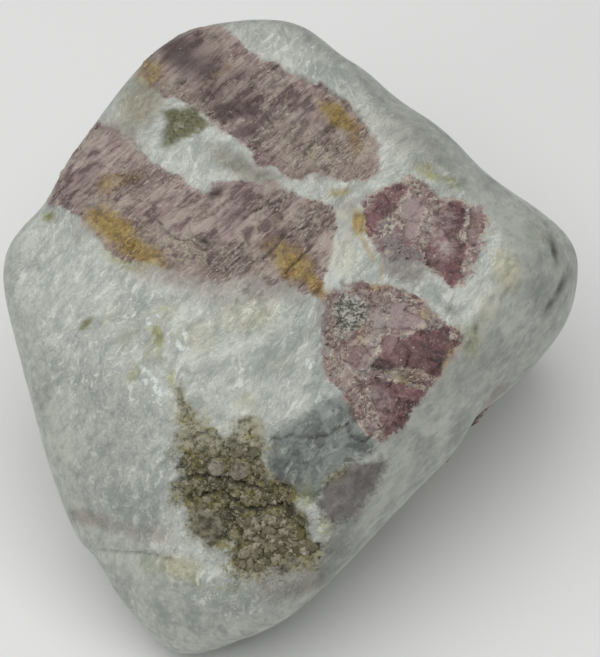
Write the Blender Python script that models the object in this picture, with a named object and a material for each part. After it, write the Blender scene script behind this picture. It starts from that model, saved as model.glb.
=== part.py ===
"""A lightly tumbled hand specimen of pink tourmaline, grown together with a grey-white bladed matrix.

It is one solid. Its form is a lump with soft-edged flats, a few shallow hollows along its rim, low broken
steps where the pink crystals come to the surface, and a crumbly pocket let into the front. The origin lies
on the flat underside, below the stone's centre of mass. +Z is up and the side that shows best faces -Y.
"""

import math

import bmesh
import bpy
import numpy as np

# Lengths are in metres and angles in degrees
MM = 0.001

# The heart is the point that every flat is measured from, and its height sets the flat underside
HEART = np.array([1.2, -2.4, 18.7]) * MM
EDGE_CRISPNESS = 20

# Each flat: bearing of its outward normal (0 faces -Y, 90 faces +X), slope above level, distance from the heart
FLATS = {
    "top": (-25, 78, 16.6),
    "left_front": (-36, 41, 25.7),
    "front": (-9, 45, 24.2),
    "nose": (-30.5, 14.5, 33.7),
    "right_strip": (45.5, 12, 27.1),
    "right_end": (63.5, 28, 30.8),
    "top_right": (121.5, 52.5, 28.3),
    "left": (-81.5, -12.5, 29.4),
    "back_left": (-124.5, -0.5, 29.8),
    "back": (-171, 4, 36.0),
    "back_right": (143, 2, 28.5),
    "right": (87, -9, 33.8),
    "upper_left": (-114, 34, 33.6),
    "upper_back": (-171.5, 41, 38.3),
    "under_right": (53.5, -31, 22.7),
    "under_front": (20.5, -32.5, 33.2),
    "under_left": (-64.5, -32.5, 32.0),
    "under_back_left": (-123, -42, 30.9),
    "under_back": (-171, -42, 35.2),
    "under_back_right": (141, -42, 31.6),
    "under": (0, -90, 18.9),
}

# The show side is where the stone shows best: from the front, looking down this steeply from this far away
SHOW_SLOPE = 52
SHOW_DISTANCE = 495 * MM
AIM_RIGHT = 1.8
AIM_UP = 0.8

# Shallow hollows in the rim: clock angle seen from the show side (0 is right, 90 is up), lean towards that side,
# half-width in degrees, depth in millimetres
HOLLOWS = {
    "upper_right_edge": (37, 0, 12, 1.1),
    "top_right_edge": (64, -3, 10, 0.85),
    "top_edge": (79, -4, 5, 0.6),
    "upper_left_edge": (152, 9, 7, 0.75),
    "left_corner_chip": (231, 16, 3.4, 0.9),
    "nose_chip": (261, 17, 4, 0.35),
    "lower_right_wave": (337, 18, 9, 1.35),
    "lower_right_dip": (312, 27, 14, 0.35),
    "back_hollow": (95, -60, 16, 0.8),
    "under_hollow": (330, -30, 14, 0.9),
}

# The ground flats are never quite flat: a long swell and a short one, grain and height in millimetres
LONG_SWELL = (19, 0.42)
SHORT_SWELL = (6.5, 0.13)

# Outlines are drawn in millimetres right and up from the aim point, as seen from the show side
POCKET_OUTLINE = [
    (-14.3, -6.5), (-13.5, -8.6), (-11.3, -10.9), (-9.4, -12.9), (-8.0, -12.1), (-7.4, -10.7), (-5.9, -10.3),
    (-4.6, -11.0), (-4.2, -12.7), (-3.5, -14.1), (-4.4, -15.8), (-4.0, -17.6), (-2.1, -19.3), (-1.2, -21.4),
    (0.9, -24.7), (2.6, -26.3), (2.2, -27.8), (-1.8, -29.0), (-6.1, -30.1), (-8.5, -28.7), (-7.9, -26.4),
    (-10.5, -26.4), (-12.9, -25.3), (-13.7, -22.2), (-14.8, -21.2), (-15.0, -15.5), (-15.0, -10.2),
]
UPPER_BAND_OUTLINE = [
    (-20.5, 30.0), (-12.5, 35.4), (-7.0, 33.6), (-3.3, 28.3), (1.5, 25.0), (6.7, 22.3), (9.9, 17.2), (8.6, 13.6),
    (5.2, 13.9), (1.2, 16.5), (-4.8, 19.2), (-8.6, 21.8), (-12.2, 25.8), (-17.2, 28.2),
]
LOWER_BAND_OUTLINE = [
    (-24.0, 23.6), (-20.8, 22.4), (-12.6, 17.3), (-9.1, 15.9), (-2.0, 16.4), (3.5, 14.4), (5.2, 9.9),
    (4.9, 4.6), (0.6, 5.3), (-4.5, 4.2), (-12.9, 6.6), (-17.9, 8.4), (-23.0, 9.4), (-25.5, 13.5), (-29.0, 15.2),
]
RIGHT_CLUSTER_OUTLINE = [
    (6.8, 15.7), (12.0, 17.5), (15.5, 16.2), (21.4, 15.0), (22.5, 10.8), (18.7, 4.6), (13.0, 6.2), (8.6, 9.0),
]
LOWER_CLUSTER_OUTLINE = [
    (3.2, 4.7), (9.6, 5.2), (13.9, 4.5), (18.9, -0.6), (16.7, -6.6), (9.3, -13.3), (5.4, -10.6), (2.6, -4.4),
]

# Broken crystal surfaces: outline, size of a facet, height of its step, all in millimetres. The steps fade out
# towards the outline over the fade's width
CRYSTAL_FADE = 1.2
CRYSTAL_ZONES = {
    "upper_band": (UPPER_BAND_OUTLINE, 3.6, 0.3),
    "lower_band": (LOWER_BAND_OUTLINE, 3.6, 0.28),
    "right_cluster": (RIGHT_CLUSTER_OUTLINE, 3.0, 0.32),
    "lower_cluster": (LOWER_CLUSTER_OUTLINE, 3.0, 0.34),
}

# The pocket: its floor, the broken crumbs on it, and the two whole grains and the crevice that stand out there
POCKET_DEPTH = 1.1
POCKET_WALL = 1.1
CRUMB_SIZE = 2.1
CRUMB_STEP = 0.65
CRUMB_SEED = 11
ROUND_GRAIN = (-11.0, -23.8, 2.5, 1.35)
GLASSY_GRAIN = (-7.4, -17.2, 1.6, 1.0)
CREVICE = [(-8.2, -20.6), (-5.0, -21.9), (-1.6, -22.2)]
CREVICE_WIDTH = 1.0
CREVICE_DEPTH = 0.9

# The ledge that parts the left front flat from the nose
LEDGE = [(-24.0, -26.6), (-17.5, -27.3), (-12.8, -29.2), (-8.2, -27.6)]
LEDGE_WIDTH = 0.9
LEDGE_DEPTH = 0.55

# Relief of the show side fades out over this nearness to the viewer, in millimetres, before the rim is reached
SHOW_FADE = 6

# Fineness of the mesh: steps of the whole ball, and further steps within a margin of the pocket and the ledge.
# The first of those takes in the crystals too, up to a little inside their outlines
BALL_STEPS = 5
POCKET_STEPS = 2
FINE_MARGIN = 1.6
CRYSTAL_INSET = 0.4

# Points this close to the rest plane are set on it before the underside is cut, so that no sliver is left
UNDERSIDE_SNAP = 0.35
CUT_TOLERANCE = 1e-7

# An edge whose faces meet at more than this is shaded sharp
SHARP_EDGE = 28

STONE_COLOUR = (0.52, 0.52, 0.50, 1.0)
STONE_ROUGHNESS = 0.42


def facing(bearing, slope):
    """Unit vector that points along a bearing and a slope above level."""
    b, s = math.radians(bearing), math.radians(slope)
    return np.array([math.sin(b) * math.cos(s), -math.cos(b) * math.cos(s), math.sin(s)])


SHOW_TOWARDS = facing(0, SHOW_SLOPE)
SHOW_UP = facing(180, 90 - SHOW_SLOPE)
SHOW_RIGHT = np.array([1.0, 0.0, 0.0])
AIM = HEART + (AIM_RIGHT * SHOW_RIGHT + AIM_UP * SHOW_UP) * MM


def seen_from_show_side(points):
    """Millimetres right and up from the aim point at which points are seen, and their nearness to the viewer."""
    offset = points - AIM
    towards = offset @ SHOW_TOWARDS
    scale = SHOW_DISTANCE / (SHOW_DISTANCE - towards) / MM
    return np.stack([offset @ SHOW_RIGHT * scale, offset @ SHOW_UP * scale], axis=1), towards / MM


def smooth_noise(points, grain, seed):
    """Noise between -1 and 1: random values on a cubic lattice of this grain, blended between its corners."""
    at = points / (grain * MM)
    cell = np.floor(at).astype(np.int64)
    blend = at - cell
    blend = blend * blend * (3 - 2 * blend)
    total = np.zeros(len(points))
    for corner in np.ndindex(2, 2, 2):
        x, y, z = (cell + corner).T
        mixed = ((x * 73856093) ^ (y * 19349663) ^ (z * 83492791) ^ (seed * 2654435)) & 0x7FFFFFFF
        mixed = ((mixed ^ (mixed >> 13)) * 1274126177) & 0x7FFFFFFF
        value = (mixed ^ (mixed >> 16)) / 0x3FFFFFFF - 1
        total += value * np.prod(np.where(corner, blend, 1 - blend), axis=1)
    return total


def facet_steps(seen, size, seed):
    """Flat tilted facets of about unit height: each point takes the plane of the nearest scattered centre."""
    rng = np.random.default_rng(seed)
    low, high = seen.min(axis=0) - size, seen.max(axis=0) + size
    count = int(np.prod((high - low) / size)) + 1
    centres = rng.uniform(low, high, (count, 2))
    heights = rng.uniform(-0.7, 0.7, count)
    tilts = rng.uniform(-0.5, 0.5, (count, 2))
    apart = seen[:, None] - centres[None]
    nearest = np.argmin((apart**2).sum(axis=2), axis=1)
    from_centre = apart[np.arange(len(seen)), nearest] / size
    return heights[nearest] + (from_centre * tilts[nearest]).sum(axis=1)


def distance_to_line(seen, line):
    """Distance of each seen point from a line of straight pieces."""
    nearest = np.full(len(seen), np.inf)
    for a, b in zip(np.array(line[:-1]), np.array(line[1:])):
        along = np.clip((seen - a) @ (b - a) / ((b - a) @ (b - a)), 0, 1)
        nearest = np.minimum(nearest, np.hypot(*(seen - a - along[:, None] * (b - a)).T))
    return nearest


def depth_inside(seen, outline):
    """Distance of each seen point inside a closed outline, negative outside it."""
    x, y = seen.T
    inside = np.zeros(len(seen), bool)
    for (ax, ay), (bx, by) in zip(outline, outline[1:] + outline[:1]):
        if ay != by:
            crosses = (ay > y) != (by > y)
            inside ^= crosses & (x < (bx - ax) * (y - ay) / (by - ay) + ax)
    return np.where(inside, 1, -1) * distance_to_line(seen, outline + outline[:1])


def ramp(value, start, end):
    """0 before start, 1 after end, and a smooth rise between them."""
    t = np.clip((value - start) / (end - start), 0, 1)
    return t * t * (3 - 2 * t)


def lump_radius(directions):
    """Distance from the heart to the rounded lump: the flats' plane distances joined by a high power mean."""
    total = np.zeros(len(directions))
    for bearing, slope, distance in FLATS.values():
        lean = np.maximum(0, directions @ facing(bearing, slope))
        total += (lean / (distance * MM)) ** EDGE_CRISPNESS
    return total ** (-1 / EDGE_CRISPNESS)


def hollow_depth(directions):
    """Depth of the rim's hollows: each is a bell shape of the angle from its middle."""
    depth = np.zeros(len(directions))
    for clock, lean, width, deep in HOLLOWS.values():
        c, t = math.radians(clock), math.radians(lean)
        middle = (SHOW_RIGHT * math.cos(c) + SHOW_UP * math.sin(c)) * math.cos(t) + SHOW_TOWARDS * math.sin(t)
        angle = np.degrees(np.arccos(np.clip(directions @ middle, -1, 1)))
        depth += deep * MM * np.exp(-((angle / width) ** 2))
    return depth


def crystal_relief(seen):
    """Low broken steps of the pink crystals, fading out at the edge of each zone."""
    height = np.zeros(len(seen))
    for seed, (outline, size, step) in enumerate(CRYSTAL_ZONES.values()):
        height += step * facet_steps(seen, size, seed) * ramp(depth_inside(seen, outline), 0, CRYSTAL_FADE)
    return height


def pocket_relief(seen):
    """Floor, crumbs, whole grains and crevice of the pocket, with its wall rising to nothing at the outline."""
    within = ramp(depth_inside(seen, POCKET_OUTLINE), 0, POCKET_WALL)
    height = CRUMB_STEP * facet_steps(seen, CRUMB_SIZE, CRUMB_SEED) - POCKET_DEPTH
    for right, up, radius, tall in (ROUND_GRAIN, GLASSY_GRAIN):
        away = np.hypot(seen[:, 0] - right, seen[:, 1] - up) / radius
        dome = np.sqrt(np.clip(1 - away**2, 0, 1)) * tall - POCKET_DEPTH
        height = np.where(away < 1, np.maximum(height, dome), height)
    height -= CREVICE_DEPTH * np.exp(-((distance_to_line(seen, CREVICE) / CREVICE_WIDTH) ** 2))
    return height * within


def stone_surface(directions):
    """Points of the stone's surface in these directions from the heart."""
    reach = lump_radius(directions) - hollow_depth(directions)
    points = HEART + directions * reach[:, None]
    seen, towards = seen_from_show_side(points)
    relief = LONG_SWELL[1] * smooth_noise(points, LONG_SWELL[0], 1)
    relief += SHORT_SWELL[1] * smooth_noise(points, SHORT_SWELL[0], 2)
    on_show_side = ramp(towards, 0, SHOW_FADE)
    relief += on_show_side * (crystal_relief(seen) + pocket_relief(seen))
    relief -= on_show_side * LEDGE_DEPTH * np.exp(-((distance_to_line(seen, LEDGE) / LEDGE_WIDTH) ** 2))
    return HEART + directions * (reach + relief * MM)[:, None]


def ball_with_fine_zones():
    """A ball of triangles about the heart, with finer ones in the pocket, on the crystals and along the ledge."""
    ball = bmesh.new()
    bmesh.ops.create_icosphere(ball, subdivisions=BALL_STEPS, radius=1.0)
    for step in range(POCKET_STEPS):
        directions = np.array([v.co.normalized() for v in ball.verts])
        seen, towards = seen_from_show_side(HEART + directions * lump_radius(directions)[:, None])
        margin = FINE_MARGIN / (step + 1)
        fine = depth_inside(seen, POCKET_OUTLINE) > -margin
        if step == 0:
            for outline, _, _ in CRYSTAL_ZONES.values():
                fine |= depth_inside(seen, outline) > CRYSTAL_INSET
            fine |= distance_to_line(seen, LEDGE) < margin
        fine &= towards > 0
        ball.verts.ensure_lookup_table()
        edges = [e for e in ball.edges if fine[e.verts[0].index] and fine[e.verts[1].index]]
        bmesh.ops.subdivide_edges(ball, edges=edges, cuts=1, use_grid_fill=True)
        bmesh.ops.triangulate(ball, faces=ball.faces[:])
        ball.verts.index_update()
    return ball


def shape_the_stone(ball):
    """Moves the ball's points out to the stone's surface."""
    directions = np.array([v.co.normalized() for v in ball.verts])
    for vertex, point in zip(ball.verts, stone_surface(directions)):
        vertex.co = point


def grind_underside(stone):
    """Cuts the underside flat at the rest plane and closes it with a fan of triangles about the origin."""
    for vertex in stone.verts:
        if abs(vertex.co.z) < UNDERSIDE_SNAP * MM:
            vertex.co.z = 0.0
    everything = stone.verts[:] + stone.edges[:] + stone.faces[:]
    bmesh.ops.bisect_plane(
        stone, geom=everything, dist=CUT_TOLERANCE, plane_co=(0, 0, 0), plane_no=(0, 0, -1), clear_outer=True
    )
    rim = [edge for edge in stone.edges if edge.is_boundary]
    middle = stone.verts.new((0.0, 0.0, 0.0))
    for edge in rim:
        stone.faces.new((middle, *edge.verts))


def make_material():
    material = bpy.data.materials.new("grey_white_matrix_with_pink_crystals")
    material.use_nodes = True
    shader = material.node_tree.nodes["Principled BSDF"]
    shader.inputs["Base Color"].default_value = STONE_COLOUR
    shader.inputs["Roughness"].default_value = STONE_ROUGHNESS
    shader.inputs["Metallic"].default_value = 0.0
    return material


def make_stone():
    stone = ball_with_fine_zones()
    shape_the_stone(stone)
    grind_underside(stone)
    bmesh.ops.recalc_face_normals(stone, faces=stone.faces[:])
    mesh = bpy.data.meshes.new("tourmaline_stone")
    stone.to_mesh(mesh)
    stone.free()
    mesh.shade_smooth()
    mesh.set_sharp_from_angle(angle=math.radians(SHARP_EDGE))
    mesh.materials.append(make_material())
    thing = bpy.data.objects.new("tourmaline_stone", mesh)
    bpy.context.scene.collection.objects.link(thing)
    return thing


for old in list(bpy.data.objects):
    bpy.data.objects.remove(old, do_unlink=True)
make_stone()
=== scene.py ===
import math

import bpy
import numpy as np
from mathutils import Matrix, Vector


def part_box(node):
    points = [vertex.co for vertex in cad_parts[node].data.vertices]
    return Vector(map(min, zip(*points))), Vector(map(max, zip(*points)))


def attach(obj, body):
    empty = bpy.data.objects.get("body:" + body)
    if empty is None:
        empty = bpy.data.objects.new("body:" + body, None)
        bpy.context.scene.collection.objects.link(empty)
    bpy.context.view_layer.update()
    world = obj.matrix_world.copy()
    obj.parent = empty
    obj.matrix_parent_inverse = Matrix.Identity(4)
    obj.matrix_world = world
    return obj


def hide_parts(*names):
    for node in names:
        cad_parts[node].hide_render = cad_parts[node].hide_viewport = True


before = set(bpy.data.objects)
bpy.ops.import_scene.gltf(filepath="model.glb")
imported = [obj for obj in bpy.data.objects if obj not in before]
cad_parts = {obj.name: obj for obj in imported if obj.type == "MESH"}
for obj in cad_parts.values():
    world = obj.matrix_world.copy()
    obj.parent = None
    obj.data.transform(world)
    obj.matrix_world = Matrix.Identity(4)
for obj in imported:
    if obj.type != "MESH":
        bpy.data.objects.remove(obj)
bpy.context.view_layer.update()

# A lightly tumbled specimen of pink tourmaline in a grey-white bladed matrix. The stone is one closed skin:
# a ball of grid squares drawn out to the ground flats. Its finish reads fields that are stored on the skin.

STONE = "tourmaline_stone"
LOW, HIGH = (np.array(corner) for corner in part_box(STONE))

# Every length below is in millimetres of the real stone, and the frame's box gives the size of one
STONE_LENGTH = 72.8
MM = (HIGH[1] - LOW[1]) / STONE_LENGTH
HEART = LOW + np.array([32.47, 37.43, 18.7]) * MM
EDGE_CRISPNESS = 20

# Each flat: bearing of its outward normal (0 faces -Y, 90 faces +X), slope above level, distance from heart
FLATS = {
    "top": (-25, 78, 16.6),
    "left_front": (-36, 41, 25.7),
    "front": (-9, 45, 24.2),
    "nose": (-30.5, 14.5, 33.7),
    "right_strip": (45.5, 12, 27.1),
    "right_end": (63.5, 28, 30.8),
    "top_right": (121.5, 52.5, 28.3),
    "left": (-81.5, -12.5, 29.4),
    "back_left": (-124.5, -0.5, 29.8),
    "back": (-171, 4, 36.0),
    "back_right": (143, 2, 28.5),
    "right": (87, -9, 33.8),
    "upper_left": (-114, 34, 33.6),
    "upper_back": (-171.5, 41, 38.3),
    "under_right": (53.5, -31, 22.7),
    "under_front": (20.5, -32.5, 33.2),
    "under_left": (-64.5, -32.5, 32.0),
    "under_back_left": (-123, -42, 30.9),
    "under_back": (-171, -42, 35.2),
    "under_back_right": (141, -42, 31.6),
    "under": (0, -90, 18.9),
}

# The show side is where the stone shows best: from the front, looking down this steeply from this far away
SHOW_SLOPE = 52
SHOW_DISTANCE = 495
AIM_RIGHT = 1.8
AIM_UP = 0.8
VIEW_HEIGHT = 77.5

# Shallow hollows in the rim: clock angle seen from the show side, lean towards it, half-width, depth
HOLLOWS = {
    "upper_right_edge": (37, 0, 12, 1.1),
    "top_right_edge": (64, -3, 10, 0.85),
    "top_edge": (79, -4, 5, 0.6),
    "upper_left_edge": (152, 9, 7, 0.75),
    "left_corner_chip": (231, 16, 3.4, 0.9),
    "nose_chip": (261, 17, 4, 0.35),
    "lower_right_wave": (337, 18, 9, 1.35),
    "lower_right_dip": (312, 27, 14, 0.35),
    "back_hollow": (95, -60, 16, 0.8),
    "under_hollow": (330, -30, 14, 0.9),
}
LONG_SWELL = (19, 0.42)
SHORT_SWELL = (6.5, 0.13)

# Outlines are drawn right and up from the aim point, as seen from the show side
UPPER_BAND = [
    (-19.0, 29.4), (-17.7, 32.6), (-15.1, 34.9), (-11.8, 36.2), (-9.2, 35.7), (-7.1, 33.8), (-5.4, 32.2),
    (-2.8, 31.0), (0.0, 29.7), (3.1, 28.4), (5.9, 26.5), (8.0, 23.9), (9.2, 21.1), (9.4, 18.5), (7.3, 17.3),
    (3.5, 17.8), (0.6, 17.8), (-1.5, 18.1), (-3.5, 19.1), (-5.2, 20.1), (-6.7, 21.5), (-8.5, 22.8),
    (-10.6, 24.2), (-13.0, 25.7), (-15.1, 27.0), (-17.1, 28.3),
]
LOWER_BAND = [
    (-25.0, 24.6), (-21.8, 23.7), (-19.6, 22.4), (-18.3, 20.1), (-15.6, 18.6), (-12.9, 16.8), (-11.0, 16.1),
    (-10.1, 17.1), (-7.4, 17.9), (-3.8, 17.4), (-0.6, 16.3), (2.1, 15.6), (4.1, 14.3), (4.4, 11.9),
    (3.8, 9.0), (3.3, 6.3), (2.5, 3.7), (0.9, 4.4), (-1.2, 5.3), (-3.8, 5.3), (-6.0, 5.7), (-10.6, 5.0),
    (-15.1, 6.2), (-17.3, 8.0), (-20.3, 7.8), (-22.9, 9.3), (-25.3, 12.3), (-27.7, 14.2), (-30.0, 14.5),
    (-28.8, 17.5), (-27.1, 21.3),
]
RIGHT_CLUSTER = [
    (6.8, 14.6), (8.5, 16.3), (10.9, 17.2), (13.0, 17.4), (14.8, 16.8), (15.7, 15.3), (17.2, 15.2),
    (19.5, 14.9), (21.2, 14.2), (22.1, 12.8), (21.5, 9.9), (20.4, 7.1), (19.1, 5.0), (17.5, 4.8),
    (16.0, 6.0), (14.6, 7.1), (13.0, 7.5), (11.2, 7.8), (9.7, 7.8), (9.0, 9.5), (8.0, 10.7), (7.2, 12.6),
]
LOWER_CLUSTER = [
    (2.9, 4.1), (5.3, 5.0), (7.3, 5.4), (9.9, 5.0), (11.8, 4.7), (13.9, 3.7), (15.1, 1.9), (17.1, 0.6),
    (18.6, -0.2), (19.4, -1.6), (18.3, -2.8), (17.2, -4.0), (16.5, -5.8), (15.6, -7.0), (14.4, -8.4),
    (13.0, -10.6), (11.3, -12.2), (9.4, -13.6), (7.7, -12.7), (6.1, -10.8), (5.7, -8.7), (4.5, -6.7),
    (3.1, -5.1), (2.4, -2.5), (2.4, 1.0),
]
MAUVE_CORNER = [
    (3.5, -17.6), (6.1, -15.9), (9.9, -15.5), (10.1, -16.7), (8.5, -19.6), (6.6, -22.4), (4.7, -23.3),
    (3.1, -22.8), (2.1, -20.8), (2.6, -18.8),
]
BLUE_QUARTZ = [
    (-3.8, -13.2), (-1.2, -11.4), (2.1, -8.7), (5.3, -7.8), (7.7, -9.0), (9.4, -12.0), (8.5, -14.3),
    (6.1, -15.8), (3.5, -17.4), (2.1, -20.2), (0.0, -20.0), (-1.9, -19.3), (-3.8, -17.6), (-4.2, -15.5),
]
OLIVE_PATCH = [
    (-16.2, 25.8), (-14.2, 26.0), (-12.0, 25.3), (-10.7, 24.0), (-12.3, 23.2), (-14.2, 22.0), (-16.0, 21.4),
    (-16.3, 22.8), (-15.7, 24.4),
]
POCKET = [
    (-14.3, -6.3), (-13.5, -8.4), (-11.3, -10.8), (-9.4, -12.8), (-8.0, -12.1), (-7.4, -10.6),
    (-5.9, -10.2), (-4.6, -10.9), (-4.2, -12.7), (-3.3, -14.0), (-4.4, -15.8), (-3.6, -17.4), (-1.6, -18.6),
    (0.2, -19.8), (-0.2, -21.6), (1.4, -23.2), (1.2, -24.9), (2.7, -26.3), (2.2, -27.8), (-1.8, -29.0),
    (-6.1, -30.1), (-8.5, -28.9), (-7.9, -26.4), (-10.5, -26.4), (-12.9, -25.3), (-13.7, -22.2),
    (-14.8, -21.2), (-15.0, -15.5), (-15.0, -10.2),
]

# Single crystals: deep wine red, paler rosy, plum lenses in the bands, and the matrix's flakes, whose
# cleavage faces carry a painted reflection in white
WINE_CRYSTALS = [
    [(8.5, 15.6), (10.1, 16.9), (11.6, 17.3), (12.6, 16.7), (12.7, 15.9), (11.7, 14.5), (11.4, 13.6),
     (10.1, 13.0), (9.2, 12.4), (8.6, 10.7), (7.8, 10.4), (7.4, 11.6), (7.0, 14.0), (7.7, 14.9)],
    [(15.6, 13.7), (17.5, 14.9), (18.9, 14.9), (19.8, 14.2), (19.7, 12.6), (18.9, 10.9), (19.2, 9.3),
     (19.7, 8.1), (18.9, 5.5), (17.7, 4.5), (16.5, 5.3), (15.9, 6.9), (14.6, 7.1), (14.3, 8.8),
     (15.1, 10.0), (15.6, 11.6)],
    [(9.2, -0.9), (10.9, -0.6), (12.3, -1.0), (13.7, 0.1), (15.6, -0.2), (17.0, 0.5), (17.8, 0.1),
     (17.7, -1.1), (18.9, -1.4), (19.0, -2.1), (17.7, -3.0), (16.8, -4.4), (16.3, -5.8), (15.6, -6.3),
     (14.2, -5.4), (12.5, -4.7), (10.1, -5.1), (8.5, -4.7), (8.4, -3.7), (9.4, -2.5)],
    [(12.7, 4.5), (13.9, 4.2), (14.4, 3.4), (13.5, 3.0), (12.7, 3.6)],
    [(7.6, -6.0), (9.0, -5.4), (11.0, -6.0), (13.4, -6.6), (15.4, -7.6), (14.2, -9.4), (12.6, -11.4),
     (10.6, -13.0), (9.6, -12.8), (9.3, -11.0), (8.5, -9.2), (8.6, -7.6)],
]
ROSY_CRYSTALS = [
    [(12.7, 15.2), (14.2, 15.2), (14.9, 14.7), (14.6, 13.3), (13.9, 11.4), (13.7, 10.4), (12.5, 10.1),
     (11.8, 10.9), (11.8, 12.8), (11.9, 14.2)],
    [(20.1, 14.5), (21.6, 14.2), (21.9, 12.6), (21.5, 10.4), (20.5, 8.8), (19.8, 9.3), (19.4, 10.9),
     (19.9, 12.6)],
    [(10.6, 3.6), (12.7, 3.4), (13.9, 2.2), (13.9, 0.3), (12.3, -0.9), (10.1, -0.2), (10.1, 2.2)],
    [(5.4, -2.1), (8.0, -1.6), (9.2, -2.5), (8.3, -3.7), (8.0, -4.9), (6.6, -4.9), (5.2, -4.0)],
    [(3.8, -1.6), (5.0, -1.8), (5.2, -2.8), (4.5, -3.5), (3.8, -2.5)],
    [(7.1, -10.3), (9.2, -10.8), (9.9, -12.0), (8.5, -12.9), (7.3, -11.7)],
]
PLUM_LENSES = [
    [(-10.1, 25.8), (-7.6, 27.0), (-5.4, 27.0), (-4.7, 26.0), (-6.1, 25.3), (-8.5, 24.1), (-9.7, 24.6)],
    [(-8.5, 22.8), (-7.6, 23.9), (-5.7, 24.8), (-3.5, 26.3), (-3.2, 25.7), (-4.7, 24.1), (-6.1, 23.2),
     (-7.8, 22.4)],
    [(-12.0, 29.0), (-10.9, 30.5), (-9.4, 31.2), (-9.1, 30.9), (-10.1, 29.8), (-11.1, 29.0)],
    [(-3.5, 27.0), (-1.9, 27.9), (-0.5, 28.9), (-0.2, 28.5), (-1.7, 27.2), (-3.1, 26.5)],
    [(2.7, 23.2), (3.1, 24.1), (4.4, 24.4), (4.5, 23.8), (3.5, 22.8)],
    [(-14.9, 28.5), (-14.2, 29.6), (-13.2, 30.1), (-13.3, 29.6), (-14.2, 28.7)],
    [(-7.2, 11.9), (-5.6, 12.2), (-5.5, 11.6), (-6.2, 10.1), (-6.6, 10.9)],
    [(-5.0, 10.1), (-2.9, 11.9), (-1.5, 11.9), (-1.8, 11.2), (-3.5, 9.9), (-4.4, 9.6)],
    [(-4.1, 8.7), (-2.9, 10.0), (-2.1, 10.1), (-2.7, 9.0), (-3.5, 8.1)],
    [(-10.9, 15.6), (-10.3, 16.5), (-9.4, 16.7), (-9.6, 16.0), (-10.5, 15.3)],
    [(-17.7, 15.0), (-17.0, 14.9), (-16.4, 14.1), (-17.3, 14.2)],
    [(-1.4, 22.5), (0.0, 23.9), (1.2, 24.6), (1.3, 24.2), (0.2, 23.2), (-0.9, 22.2)],
    [(-3.8, 21.3), (-2.8, 22.2), (-2.6, 22.1), (-3.4, 21.2)],
]
GLINTING_FLAKES = [
    [(-18.8, -4.2), (-17.7, -4.7), (-16.5, -6.4), (-15.9, -8.4), (-16.2, -9.3), (-17.1, -8.4), (-18.2, -6.8),
     (-18.8, -5.4)],
    [(-19.9, -6.4), (-19.0, -6.6), (-18.8, -7.2), (-19.5, -7.4)],
    [(-13.6, 0.6), (-13.2, -0.9), (-13.5, -1.6), (-14.0, -0.6)],
    [(-14.6, -1.0), (-13.9, -2.0), (-12.9, -2.2), (-13.0, -2.7), (-14.2, -2.6), (-14.9, -1.8)],
    [(0.7, -3.6), (1.5, -3.4), (1.9, -4.2), (1.2, -4.9), (0.7, -4.4)],
    [(-18.1, 1.4), (-17.2, 2.0), (-16.4, 1.3), (-17.0, 0.5), (-18.3, 0.3)],
    [(-12.4, -5.6), (-11.8, -5.4), (-11.4, -6.4), (-12.0, -6.8)],
    [(7.8, 17.2), (8.8, 17.6), (8.9, 17.3), (7.9, 16.9)],
]

# Crystals that reach the hidden sides, as blocks in the stone: middle from the heart, turn of the long axis
# about Z in degrees, and half length, half width and half height
BAND_BLOCKS = [
    ((-6, 23, 13), -29, (17, 5.3, 5.5)),
    ((-14, 8, 12), -22, (18, 5.6, 5.5)),
    ((-6, 27, -9), -24, (9, 4.2, 3.4)),
    ((-3, -10, -19), -25, (13, 3.6, 4)),
]
CLUSTER_BLOCKS = [
    ((17, 17, 3), 35, (7, 5, 4.6)),
    ((22, -15, -7), 50, (6, 4, 5.5)),
    ((-27, -2, -7), 80, (6, 3, 4)),
]

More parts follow.
